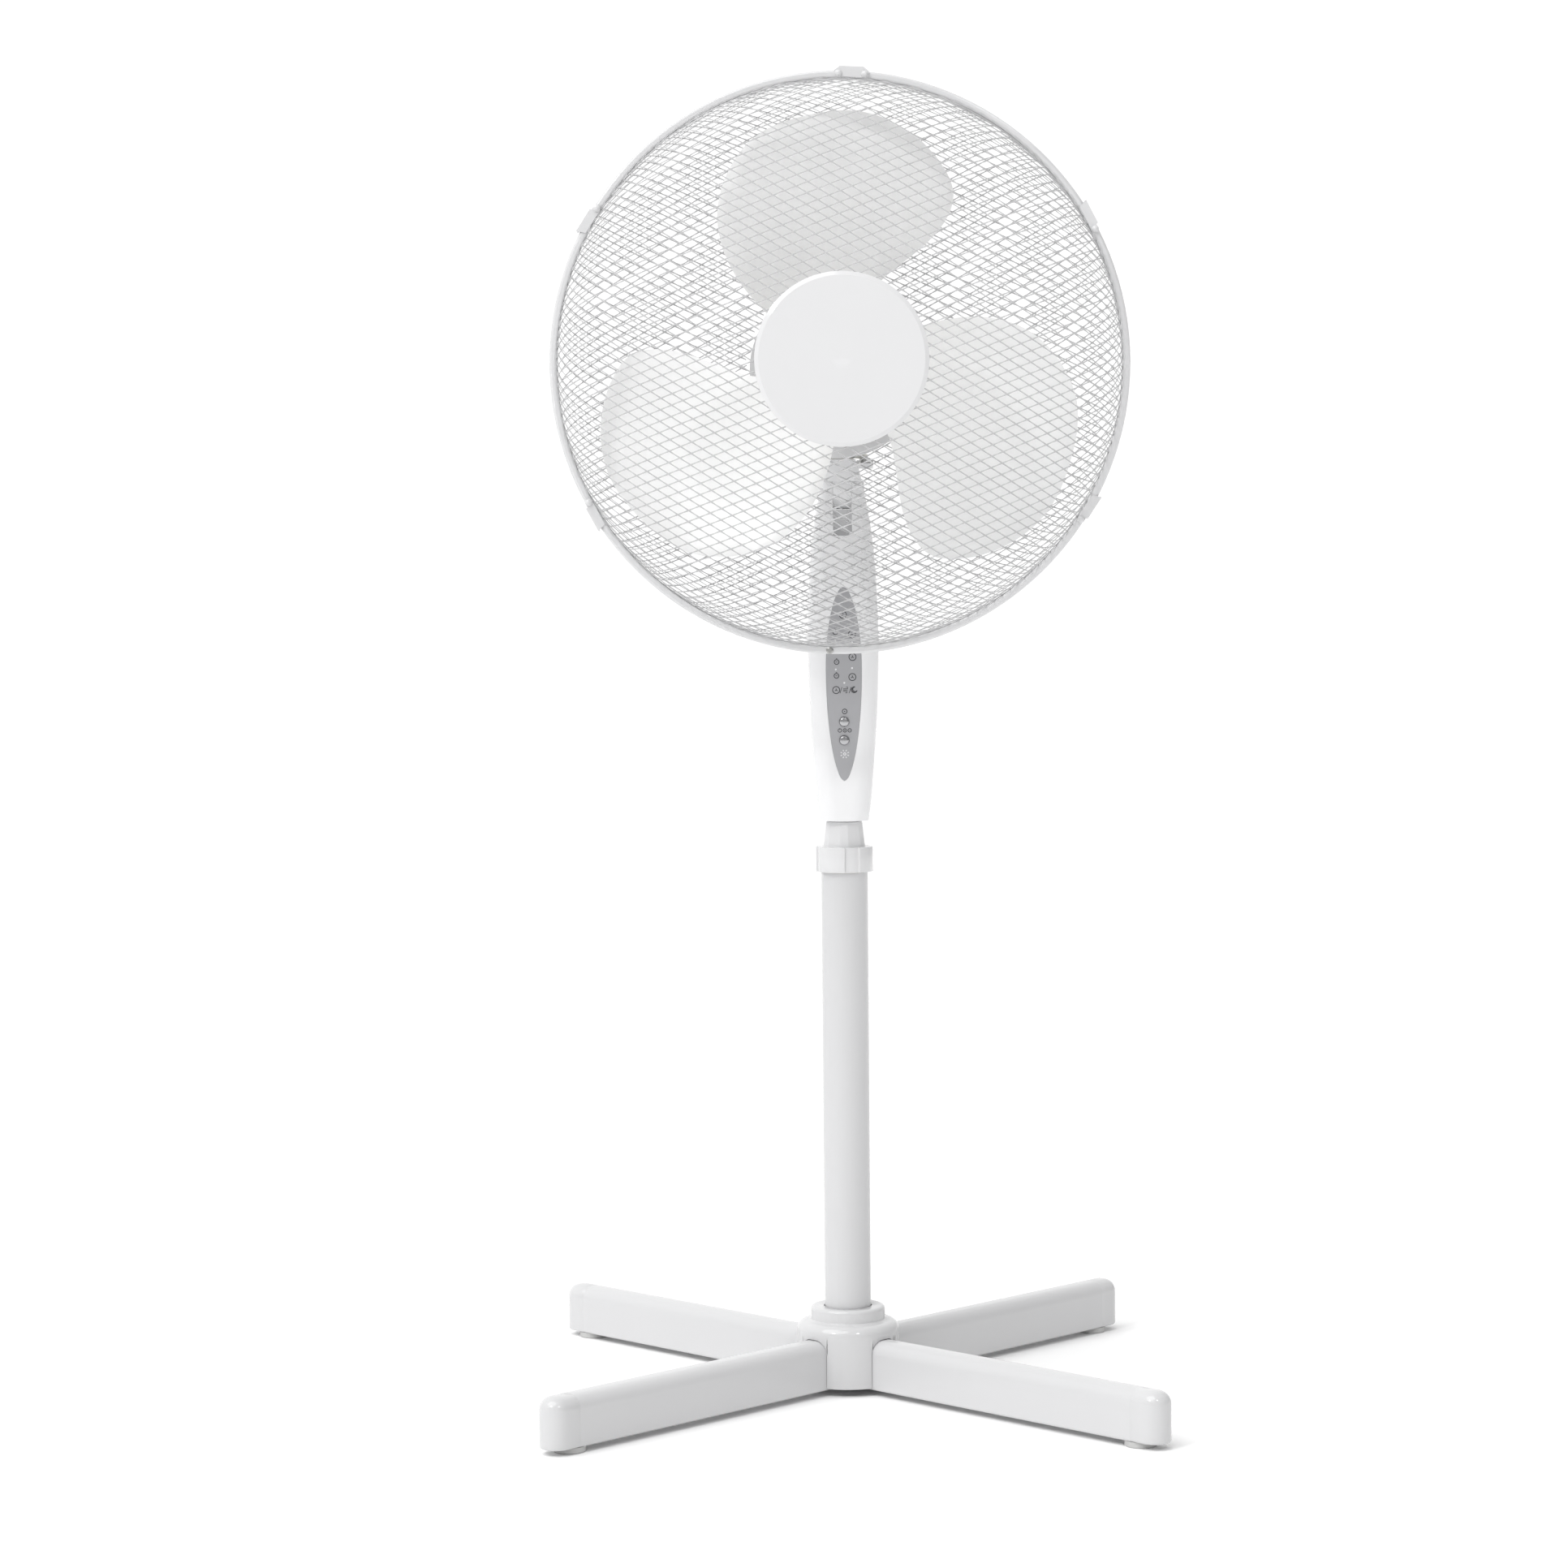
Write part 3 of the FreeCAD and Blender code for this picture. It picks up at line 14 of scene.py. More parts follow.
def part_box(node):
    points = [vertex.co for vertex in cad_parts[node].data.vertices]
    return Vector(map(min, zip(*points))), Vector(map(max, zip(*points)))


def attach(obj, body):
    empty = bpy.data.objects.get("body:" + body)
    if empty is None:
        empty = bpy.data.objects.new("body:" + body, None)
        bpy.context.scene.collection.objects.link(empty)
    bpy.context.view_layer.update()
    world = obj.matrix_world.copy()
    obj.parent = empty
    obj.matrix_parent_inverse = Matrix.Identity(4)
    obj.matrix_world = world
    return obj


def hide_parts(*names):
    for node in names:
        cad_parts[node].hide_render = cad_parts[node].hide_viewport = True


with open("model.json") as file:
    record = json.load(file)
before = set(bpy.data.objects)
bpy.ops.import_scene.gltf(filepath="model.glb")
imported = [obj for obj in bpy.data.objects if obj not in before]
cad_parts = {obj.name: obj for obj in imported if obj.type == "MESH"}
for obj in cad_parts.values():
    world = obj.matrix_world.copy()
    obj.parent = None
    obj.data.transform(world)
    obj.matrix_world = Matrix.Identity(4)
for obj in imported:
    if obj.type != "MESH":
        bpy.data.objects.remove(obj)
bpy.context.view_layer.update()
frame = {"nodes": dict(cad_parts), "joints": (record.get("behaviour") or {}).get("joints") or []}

MM = 0.001
# a wave texture at scale 1 repeats at this distance
WAVE_PERIOD = 0.3142

bl_info = {
    "name": "Pedestal Fan",
    "version": (1, 0, 0),
    "blender": (4, 5, 0),
    "location": "View3D > Sidebar > Pedestal Fan",
    "description": "Finishes, guard lattice and printed controls of a pedestal fan",
    "category": "Add Mesh",
}


# ---------------------------------------------------------------- colours and nodes
def linear(code):
    """Linear colour with alpha from an sRGB hex value."""
    channels = []
    for start in (0, 2, 4):
        value = int(code[start:start + 2], 16) / 255
        channels.append(value / 12.92 if value <= 0.04045 else ((value + 0.055) / 1.055) ** 2.4)
    return (*channels, 1.0)


def add_node(tree, kind, settings=None, **inputs):
    """Node with its settings; an input is a value, or an output that is linked to it."""
    node = tree.nodes.new(kind)
    for name, value in (settings or {}).items():
        setattr(node, name, value)
    for name, value in inputs.items():
        socket = node.inputs[name.replace("_", " ")]
        if isinstance(value, bpy.types.NodeSocket):
            tree.links.new(value, socket)
        else:
            socket.default_value = value
    return node


# ---------------------------------------------------------------- settings
class FanSizes(bpy.types.PropertyGroup):
    """Sizes of the pieces that are made here."""
    strand_width: bpy.props.FloatProperty(
        name="Strand width", description="Width of a guard strand between two bonds",
        default=0.7 * MM, unit="LENGTH")
    bond_width: bpy.props.FloatProperty(
        name="Bond width", description="Width of a guard strand where two strands meet",
        default=1.2 * MM, unit="LENGTH")
    strand_depth: bpy.props.FloatProperty(
        name="Strand depth", description="Thickness of the guard's sheet",
        default=0.7 * MM, unit="LENGTH")
    rising_step: bpy.props.FloatVectorProperty(
        name="Rising step", description="Sideways and upward step along a rising strand",
        default=(8.2 * MM, 3.2 * MM), size=2, unit="LENGTH")
    falling_step: bpy.props.FloatVectorProperty(
        name="Falling step", description="Sideways and upward step along a falling strand",
        default=(7.65 * MM, -5.0 * MM), size=2, unit="LENGTH")
    edge_round: bpy.props.FloatProperty(
        name="Edge round", description="Rounding of the edges of moulded pieces",
        default=0.45 * MM, unit="LENGTH")
    ink_height: bpy.props.FloatProperty(
        name="Ink height", description="Height of the printed marks above the panel",
        default=0.05 * MM, unit="LENGTH")


class FanColours(bpy.types.PropertyGroup):
    """Colours of the main finishes."""
    shell: bpy.props.FloatVectorProperty(
        name="Plastic", description="Moulded white plastic",
        default=linear("EEEEEF")[:3], size=3, subtype="COLOR", min=0, max=1)
    coat: bpy.props.FloatVectorProperty(
        name="Coat", description="Pale grey powder coat on the tubes of the pole and the base",
        default=linear("D1D1D2")[:3], size=3, subtype="COLOR", min=0, max=1)
    rim: bpy.props.FloatVectorProperty(
        name="Rim", description="White powder coat on the guard's rings, clips and hook",
        default=linear("D8D8D9")[:3], size=3, subtype="COLOR", min=0, max=1)
    # the guard's white coat is greyed here as painted shade on the thin strands
    wire: bpy.props.FloatVectorProperty(
        name="Guard", description="Powder coat on the guard's thin strands",
        default=linear("C3C3C4")[:3], size=3, subtype="COLOR", min=0, max=1)
    lens: bpy.props.FloatVectorProperty(
        name="Panel", description="Grey control panel",
        default=linear("A6A6A9")[:3], size=3, subtype="COLOR", min=0, max=1)
    floor: bpy.props.FloatVectorProperty(
        name="Floor", description="Pale studio floor",
        default=linear("FCFCFC")[:3], size=3, subtype="COLOR", min=0, max=1)


# ---------------------------------------------------------------- finishes
def make_finish(name, light, dark, roughness, grain, relief, metallic=0.0, ior=1.5, coat=0.0,
                stretch=(1, 1, 1), bands=False, patch=45.0, spread=0.04):
    """Procedural material: two close tones in patches, and relief at its own grain, in mm."""
    made = bpy.data.materials.new(name)
    made.use_nodes = True
    tree = made.node_tree
    tree.nodes.clear()
    place = add_node(tree, "ShaderNodeTexCoord")
    spot = place.outputs["Object"]
    if stretch != (1, 1, 1):
        spot = add_node(tree, "ShaderNodeMapping", Vector=spot, Scale=stretch).outputs["Vector"]
    if bands:
        fine = add_node(tree, "ShaderNodeTexWave", {"bands_direction": "Y"}, Vector=spot,
                        Scale=WAVE_PERIOD / (grain * MM), Distortion=0.6).outputs["Fac"]
    else:
        fine = add_node(tree, "ShaderNodeTexNoise", Vector=spot, Scale=1 / (grain * MM),
                        Detail=2.0).outputs["Fac"]
    broad = add_node(tree, "ShaderNodeTexNoise", Vector=place.outputs["Object"],
                     Scale=1 / (patch * MM), Detail=3.0).outputs["Fac"]
    tone = add_node(tree, "ShaderNodeValToRGB", Fac=fine if bands else broad)
    for element, colour, position in zip(tone.color_ramp.elements, (dark, light), (0.3, 0.7)):
        element.color = (*colour[:3], 1)
        element.position = position
    rough = add_node(tree, "ShaderNodeMapRange", Value=broad, From_Min=0.3, From_Max=0.7,
                     To_Min=max(roughness - spread, 0.02), To_Max=roughness + spread)
    bump = add_node(tree, "ShaderNodeBump", Height=fine, Distance=relief * MM, Strength=1.0)
    shader = add_node(tree, "ShaderNodeBsdfPrincipled", Base_Color=tone.outputs["Color"],
                      Roughness=rough.outputs["Result"], Normal=bump.outputs["Normal"],
                      Metallic=metallic, IOR=ior, Coat_Weight=coat, Coat_Roughness=0.08)
    add_node(tree, "ShaderNodeOutputMaterial", Surface=shader.outputs["BSDF"])
    return made


def shade(colour, share):
    """The same colour, darker by a share."""
    return tuple(channel * (1 - share) for channel in colour[:3])


def make_finishes(colours):
    """Every finish of the fan, by its name."""
    shell, coat, rim, wire, lens = (tuple(c) for c in (
        colours.shell, colours.coat, colours.rim, colours.wire, colours.lens))
    steel = linear("B4B4B2")
    return {
        # moulded glossy ABS: even white, sharp highlights, the faintest flow marks
        "moulded_abs": make_finish("moulded_abs", shell, shade(shell, 0.008), 0.11, 14, 0.015,
                                   ior=1.53, spread=0.01, patch=90),
        # the same white plastic in two darker copies, as painted shade: lightly shaded on the
        # disc and the collar; more deeply shaded on the base's mouldings
        "lightly_shaded_abs": make_finish("lightly_shaded_abs", shade(shell, 0.15), shade(shell, 0.16), 0.09, 14,
                                0.02, ior=1.53, spread=0.01, patch=90),
        "deeply_shaded_abs": make_finish("deeply_shaded_abs", shade(shell, 0.25), shade(shell, 0.26), 0.09, 14,
                                0.02, ior=1.53, spread=0.01, patch=90),
        # polypropylene blades: a little waxy and whiter, so their highlights are broader
        "moulded_pp": make_finish("moulded_pp", linear("F5F5F5"), linear("F3F3F3"), 0.34, 9,
                                  0.03, ior=1.49),
        # powder coat on steel tube: satin, with the orange peel that breaks long reflections
        "powder_coat": make_finish("powder_coat", coat, shade(coat, 0.008), 0.19, 2.2, 0.006,
                                   ior=1.5, spread=0.01, patch=90),
        # the same coat, thicker and whiter, on the guard's rims, clips and hook
        "rim_coat": make_finish("rim_coat", rim, shade(rim, 0.01), 0.22, 2.2, 0.006,
                                ior=1.5, spread=0.01, patch=90),
        # white powder coat on thin strands, made greyer as painted shade standing in for the
        # shaded sides of the strands
        "shaded_guard_coat": make_finish("shaded_guard_coat", wire, shade(wire, 0.1), 0.38, 3, 0.02,
                                  patch=30),
        # clear-faced polycarbonate over silver-grey print: even grey under a gloss
        "panel_lens": make_finish("panel_lens", lens, shade(lens, 0.03), 0.34, 0.5, 0.004,
                                  metallic=0.1, ior=1.58, coat=0.3, patch=12),
        # chromed ABS: mirror bright, slightly rippled by the plastic under it
        "bright_chrome": make_finish("bright_chrome", linear("BEBEC0"), linear("B0B0B2"), 0.2, 6,
                                     0.01, metallic=1.0),
        # zinc-plated steel: dull silver with fine drawn lines
        "zinc_plate": make_finish("zinc_plate", steel, shade(steel, 0.15), 0.32, 0.5, 0.01,
                                  metallic=1.0, stretch=(1, 1, 6), patch=6),
        # ground steel shaft: fine rings round the bar
        "ground_steel": make_finish("ground_steel", linear("A9A9A8"), linear("8E8E8D"), 0.28,
                                    0.6, 0.008, metallic=1.0, bands=True),
        # chromed steel tube of the sliding pole: bright, with long drawn lines
        "drawn_chrome": make_finish("drawn_chrome", linear("CFCFD0"), linear("BDBDBE"), 0.16,
                                    1.0, 0.006, metallic=1.0, stretch=(1, 1, 0.05)),
        # die-cast aluminium: pale grey with a sandy skin
        "cast_aluminium": make_finish("cast_aluminium", linear("A8A9AA"), linear("8F9091"), 0.5,
                                      1.1, 0.06, metallic=1.0),
        # stacked electrical steel: dark grey leaves half a millimetre thick
        "laminated_steel": make_finish("laminated_steel", linear("77787B"), linear("4A4B4E"),
                                       0.45, 1.0, 0.08, metallic=0.9, bands=True),
        # enamelled copper wire in wound coils
        "enamelled_copper": make_finish("enamelled_copper", linear("B5622F"), linear("7A3A18"),
                                        0.3, 0.9, 0.15, metallic=0.8, bands=True),
        # sintered bronze: brown yellow, finely porous
        "sintered_bronze": make_finish("sintered_bronze", linear("A98350"), linear("866438"),
                                       0.5, 0.4, 0.03, metallic=1.0, patch=4),
        # acetal gears: translucent white, low gloss
        "acetal": make_finish("acetal", linear("E4E3DD"), linear("D6D5CF"), 0.4, 1.5, 0.01,
                              ior=1.48),
        # glass-filled nylon: dark, dry and faintly fibrous
        "filled_nylon": make_finish("filled_nylon", linear("3A3A3C"), linear("2C2C2E"), 0.6, 0.7,
                                    0.03, ior=1.53, stretch=(1, 3, 1)),
        # soft PVC rubber: pale grey, matt, with a fine moulded texture
        "pale_rubber": make_finish("pale_rubber", linear("C9C9C8"), linear("B8B8B7"), 0.75, 0.8,
                                   0.04, ior=1.52),
        # printed circuit board under green solder mask
        "solder_mask": make_finish("solder_mask", linear("1F6B3A"), linear("174F2B"), 0.35, 1.6,
                                   0.02, coat=0.3),
        # screen-printed ink: flat dark grey, thin and matt
        "dark_ink": make_finish("dark_ink", linear("343437"), linear("2C2C2F"), 0.6, 0.3, 0.004,
                                patch=3),
        "pale_ink": make_finish("pale_ink", linear("E6E6E8"), linear("DCDCDE"), 0.6, 0.3, 0.004,
                                patch=3),
    }


# the base's end caps and cover, the collar and the badge disc take copies of the white plastic
# darkened as painted shade
NODE_FINISH = {
    "cross_tube_lower": "powder_coat", "cross_tube_upper": "powder_coat",
    "leg_end_caps": "deeply_shaded_abs", "foot_pads": "pale_rubber", "base_cover": "deeply_shaded_abs",
    "pole_saddle": "zinc_plate", "base_bolt": "zinc_plate", "outer_pole": "powder_coat",
    "clamp_collet": "acetal", "height_collar": "lightly_shaded_abs", "inner_pole": "drawn_chrome",
    "inner_pole_bush": "filled_nylon", "housing_front": "moulded_abs",
    "housing_rear": "moulded_abs", "housing_screws": "zinc_plate",
    "control_panel": "panel_lens", "control_board": "solder_mask", "cord_gland": "acetal",
    "tilt_bolt": "zinc_plate", "tilt_caps": "moulded_abs", "power_button": "bright_chrome",
    "speed_button": "bright_chrome", "neck_bracket": "moulded_abs",
    "oscillation_pin": "ground_steel", "thrust_washer": "acetal",
    "crank_link": "zinc_plate", "front_bracket": "cast_aluminium",
    "rear_bracket": "cast_aluminium", "stator_core": "laminated_steel",
    "stator_windings": "enamelled_copper", "shaft_bearings": "sintered_bronze",
    "motor_bolts": "zinc_plate", "run_capacitor": "acetal", "motor_cover": "moulded_abs",
    "gearbox_case": "filled_nylon", "gearbox_lid": "filled_nylon", "worm_wheel": "acetal",
    "crank_gear": "acetal", "oscillation_knob": "moulded_abs", "motor_shaft": "ground_steel",
    "rotor_core": "laminated_steel", "blade_nut": "moulded_abs", "fan_blade": "moulded_pp",
    "drive_pin": "ground_steel", "rear_guard_plate": "rim_coat",
    "rear_guard_mesh": "shaded_guard_coat", "rear_guard_ring": "rim_coat",
    "guard_nut": "moulded_abs", "front_guard_mesh": "shaded_guard_coat",
    "front_guard_ring": "rim_coat", "badge_disc": "lightly_shaded_abs", "badge_plate": "acetal",
    "badge_screws": "zinc_plate", "guard_rivets": "rim_coat", "safety_screw": "zinc_plate",
    "guard_clip_1": "rim_coat", "guard_clip_2": "rim_coat",
    "guard_clip_3": "rim_coat", "guard_clip_4": "rim_coat", "top_hook": "rim_coat",
}
MOULDED = (
    ("height_collar", "collar"), ("base_cover", "base"), ("fan_blade", "rotor"),
    ("neck_bracket", "neck"), ("motor_cover", "head"), ("guard_nut", "head"),
    ("oscillation_knob", "knob"), ("leg_end_caps", "base"),
)


def finish_of(name):
    """Material of a finish."""
    return bpy.data.materials[name]


# ---------------------------------------------------------------- pieces
def new_piece(name, vertices, faces, body, finish, smooth=True):
    """Mesh object that rides on a body."""
    mesh = bpy.data.meshes.new(name)
    mesh.from_pydata([tuple(v) for v in vertices], [], faces)
    mesh.validate()
    mesh.polygons.foreach_set("use_smooth", [smooth] * len(mesh.polygons))
    mesh.materials.append(finish_of(finish))
    piece = bpy.data.objects.new(name, mesh)
    bpy.context.scene.collection.objects.link(piece)
    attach(piece, body)
    return piece


def joint(name):
    """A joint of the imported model."""
    return next(item for item in frame["joints"] if item["name"] == name)


class Dome:
    """Shape of one guard, read from its packed skin: depth by the root of 1 - (r / rim) ** 4."""

    def __init__(self, node):
        hub = Vector(joint("blade_spin")["pos_m"])
        low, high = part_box(node)
        self.centre = Vector((hub.x, 0, hub.z))
        self.radius = (high.x - low.x) / 2
        spots = [v.co for v in frame["nodes"][node].data.vertices]
        self.hole = min(math.hypot(p.x - hub.x, p.z - hub.z) for p in spots)
        self.front = "front" in node
        self.plane = high.y if self.front else low.y
        crown = math.sqrt(1 - (self.hole / self.radius) ** 4)
        self.depth = (low.y - high.y if self.front else high.y - low.y) / crown
        self.table = [(0.0, 0.0)]
        steps = 400
        before = (0.0, self.height(0.0))
        for step in range(1, steps + 1):
            radius = self.radius * math.sin(math.pi / 2 * step / steps)
            height = self.height(radius)
            run = math.hypot(radius - before[0], height - before[1])
            self.table.append((self.table[-1][0] + run, radius))
            before = (radius, height)

    def height(self, radius):
        """Depth of the skin at a radius."""
        return self.plane + self.depth * math.sqrt(max(1 - (radius / self.radius) ** 4, 0))

    def radius_at(self, run):
        """Radius reached after a run along the skin, or nothing beyond the rim."""
        low, high = 0, len(self.table) - 1
        if run >= self.table[high][0]:
            return None
        while high - low > 1:
            middle = (low + high) // 2
            if self.table[middle][0] <= run:
                low = middle
            else:
                high = middle
        (first, inner), (second, outer) = self.table[low], self.table[high]
        return inner + (outer - inner) * (run - first) / (second - first)

    def place(self, across, up):
        """Point and outward direction for a spot of the flat sheet, or nothing."""
        run = math.hypot(across, up)
        radius = self.radius_at(run)
        if radius is None or radius < self.hole:
            return None
        share = radius / run
        point = self.centre + Vector((across * share, self.height(radius), up * share))
        rise = math.sqrt(max(1 - (radius / self.radius) ** 4, 1e-4))
        slope = -2 * self.depth * radius ** 3 / self.radius ** 4 / rise
        normal = Vector((-slope * across / run, 1, -slope * up / run))
        if self.front:
            normal.negate()
        return point, normal.normalized()


def strand_rings(dome, start, step, count, turn):
    """Runs of points along one strand, every half cell, broken where it leaves the dome."""
    runs = [[]]
    for index in range(-count * 2, count * 2 + 1):
        across = start.x + step.x * index / 2
        up = start.y + step.y * index / 2
        found = dome.place(across * turn.x - up * turn.y, across * turn.y + up * turn.x)
        if found is None:
            if runs[-1]:
                runs.append([])
        else:
            runs[-1].append((*found, index % 2 == 0))
    return [run for run in runs if len(run) > 1]


def sweep_strand(run, vertices, faces, widths, depth):
    """Four-sided bar along a run of points, wider at each bond."""
    sides = 4
    base = len(vertices)
    for index, (point, normal, bonded) in enumerate(run):
        ahead = run[min(index + 1, len(run) - 1)][0]
        behind = run[max(index - 1, 0)][0]
        along = (ahead - behind).normalized()
        across = along.cross(normal).normalized()
        half = widths[0 if bonded else 1] / 2
        for side, deep in ((half, 0), (0, depth / 2), (-half, 0), (0, -depth / 2)):
            vertices.append(point + across * side + normal * deep)
    for index in range(len(run) - 1):
        ring = base + index * sides
        for side in range(sides):
            other = (side + 1) % sides
            faces.append((ring + side, ring + other, ring + sides + other, ring + sides + side))
    last = base + (len(run) - 1) * sides
    faces.append(tuple(base + side for side in reversed(range(sides))))
    faces.append(tuple(last + side for side in range(sides)))


def make_lattice(name, node, angle, sizes):
    """Expanded-metal lattice drawn over a guard's dome: two sets of bonded strands."""
    dome = Dome(node)
    rising = Vector(sizes.rising_step)
    falling = Vector(sizes.falling_step)
    turn = Vector((math.cos(angle), math.sin(angle)))
    reach = dome.table[-1][0]
    vertices, faces = [], []
    widths = (sizes.bond_width, sizes.strand_width)
    for along, aside in ((rising, falling), (falling, rising)):
        count = int(2.2 * reach / along.length)
        for index in range(-count, count + 1):
            for run in strand_rings(dome, aside * index, along, count, turn):
                sweep_strand(run, vertices, faces, widths, sizes.strand_depth)
    piece = new_piece(name, vertices, faces, "head", "shaded_guard_coat", smooth=False)
    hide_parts(node)
    return piece


def soften(node, body, width, finish):
    """Copy of a moulded piece whose sharp edges are rounded."""
    source = frame["nodes"][node].data
    work = bmesh.new()
    work.from_mesh(source)
    bmesh.ops.remove_doubles(work, verts=work.verts, dist=0.002 * MM)
    bmesh.ops.dissolve_degenerate(work, edges=work.edges, dist=0.002 * MM)
    mesh = bpy.data.meshes.new(node + "_soft")
    work.to_mesh(mesh)
    work.free()
    mesh.materials.clear()
    mesh.materials.append(finish_of(finish))
    mesh.polygons.foreach_set("use_smooth", [True] * len(mesh.polygons))
    piece = bpy.data.objects.new(node + "_soft", mesh)
    bpy.context.scene.collection.objects.link(piece)
    bevel = piece.modifiers.new("edge_round", "BEVEL")
    bevel.width = width
    bevel.segments = 2
    bevel.limit_method = "ANGLE"
    bevel.angle_limit = math.radians(38)
    bevel.harden_normals = True
    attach(piece, body)
    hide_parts(node)
    return piece


# ---------------------------------------------------------------- printed marks
class Print:
    """Flat marks that follow the control panel's face."""

    def __init__(self, lift):
        self.lift = lift
        data = frame["nodes"]["control_panel"].data
        self.tree = BVHTree.FromPolygons([v.co for v in data.vertices],
                                         [tuple(p.vertices) for p in data.polygons])
        self.vertices, self.faces = [], []

    def face_at(self, x, z):
        """Depth of the panel's face."""
        hit = self.tree.ray_cast(Vector((x, -1, z)), Vector((0, 1, 0)))[0]
        return None if hit is None else hit.y

    def add(self, outer, inner):
        """Band between two outlines with the same number of points."""
        count = len(outer)
        rows = []
        for height in (self.lift, 0):
            for line in (outer, inner):
                row = []
                for x, z in line:
                    depth = self.face_at(x * MM, z * MM)
                    if depth is None:
                        return
                    row.append(len(self.vertices))
                    self.vertices.append(Vector((x * MM, depth - height, z * MM)))
                rows.append(row)
        top_out, top_in, low_out, low_in = rows
        for k in range(count):
            n = (k + 1) % count
            for a, b in ((top_out, top_in), (low_out, top_out), (top_in, low_in),
                         (low_in, low_out)):
                self.faces.append((a[k], a[n], b[n], b[k]))

    def ring(self, x, z, radius, width=0.5, sides=28):
        """Ring about a spot; a width as large as the radius makes a dot."""
        outer, inner = [], []
        hole = max(radius - width, 0.02)
        for k in range(sides):
            turn = 2 * math.pi * k / sides
            outer.append((x + radius * math.cos(turn), z + radius * math.sin(turn)))
            inner.append((x + hole * math.cos(turn), z + hole * math.sin(turn)))
        self.add(outer, inner)

    def bar(self, start, end, width):
        """Straight stroke."""
        (x0, z0), (x1, z1) = start, end
        length = math.hypot(x1 - x0, z1 - z0)
        nx, nz = -(z1 - z0) / length * width / 2, (x1 - x0) / length * width / 2
        outer = [(x0 + nx, z0 + nz), (x0 - nx, z0 - nz), (x1 - nx, z1 - nz), (x1 + nx, z1 + nz)]
        mid = [(x0, z0), (x0, z0), (x1, z1), (x1, z1)]
        inner = [(p[0] * 0.1 + q[0] * 0.9, p[1] * 0.1 + q[1] * 0.9) for p, q in zip(outer, mid)]
        self.add(outer, inner)

    def arc(self, x, z, radius, first, last, width=0.45, steps=10):
        """Curved stroke made of short bars."""
        spots = []
        for k in range(steps + 1):
            turn = math.radians(first + (last - first) * k / steps)
            spots.append((x + radius * math.cos(turn), z + radius * math.sin(turn)))
        for start, end in zip(spots, spots[1:]):
            self.bar(start, end, width)

    def moon(self, x, z, radius):
        """Crescent open to the right."""
        sides = 24
        bite = 0.84 * radius
        hollow = (x + 0.42 * radius, z + 0.26 * radius)
        outer, inner = [], []
        for k in range(sides):
            turn = 2 * math.pi * k / sides
            outer.append((x + radius * math.cos(turn), z + radius * math.sin(turn)))
            inner.append((hollow[0] + 0.9 * bite * math.cos(turn),
                          hollow[1] + 0.9 * bite * math.sin(turn)))
        keep = [k for k in range(sides) if math.dist(outer[k], hollow) > bite]
        for k in keep:
            n = (k + 1) % sides
            if n in keep:
                self.bar(outer[k], outer[n], 0.4)
                self.bar(inner[k], inner[n], 0.4)
                self.bar(((outer[k][0] + inner[k][0]) / 2, (outer[k][1] + inner[k][1]) / 2),
                         ((outer[n][0] + inner[n][0]) / 2, (outer[n][1] + inner[n][1]) / 2), 0.9)

    def piece(self, name, finish):
        """The marks as one object."""
        return new_piece(name, self.vertices, self.faces, "column", finish,
                         smooth=False)


def make_print(sizes):
    """Generic symbols and small indicator dots of the control panel."""
    dark = Print(sizes.ink_height)
    speed_marks = ((6.7, 571.4), (6.5, 556.0), (-6.0, 546.1), (-0.4, 603.8), (6.4, 588.8))
    for x, z in speed_marks:
        dark.ring(x, z, 3.0, 0.6)
        for turn in range(3):
            angle = math.radians(90 + 120 * turn)
            dark.bar((x, z), (x + 1.2 * math.cos(angle), z + 1.2 * math.sin(angle)), 0.6)
    for x, z in ((-5.5, 567.6), (-5.7, 557.0), (-6.3, 590.4)):
        dark.ring(x, z, 2.1, 0.6)
        dark.bar((x - 0.9, z), (x + 0.9, z), 0.45)
        dark.bar((x - 0.6, z + 2.6), (x + 0.6, z + 2.6), 0.5)
    for x in (-2.4, 4.6):
        dark.bar((x - 0.7, 543.6), (x + 0.9, 548.4), 0.42)
    for rise, length in ((0.9, 3.0), (0, 3.6), (-0.9, 2.4)):
        dark.bar((-0.7, 546.1 + rise), (-0.7 + length, 546.1 + rise), 0.42)
    dark.arc(2.3, 547.7, 0.7, -90, 150)
    dark.arc(1.7, 544.5, 0.7, -150, 90)
    dark.moon(7.7, 546.1, 2.3)
    dark.ring(0.4, 529.6, 2.1, 0.6)
    dark.ring(0.4, 529.6, 0.5, 0.5, 12)
    for x in (-3.4, 0.5, 4.2):
        dark.ring(x, 515.0, 1.6, 0.5)
    dark.bar((-3.4, 515.2), (-3.4, 516.2), 0.36)
    dark.bar((-0.3, 515.0), (1.3, 515.0), 0.36)
    dark.bar((0.5, 514.2), (0.5, 515.8), 0.36)
    dark.bar((3.4, 515.0), (5.0, 515.0), 0.36)
    dark.piece("panel_symbols", "dark_ink")
    pale = Print(sizes.ink_height)
    for x, z in ((-6.2, 561.9), (6.3, 562.9), (0.3, 551.6), (-6.3, 584.4), (6.4, 582.6)):
        pale.ring(x, z, 0.75, 0.75, 14)
    pale.ring(0.3, 496.8, 1.3, 0.8, 20)
    for ray in range(8):
        turn = math.radians(45 * ray + 22.5)
        way = Vector((math.cos(turn), math.sin(turn)))
        hub = Vector((0.3, 496.8))
        pale.bar(tuple(hub + way * 2.1), tuple(hub + way * 3.5), 0.85)
    pale.piece("panel_lights", "pale_ink")


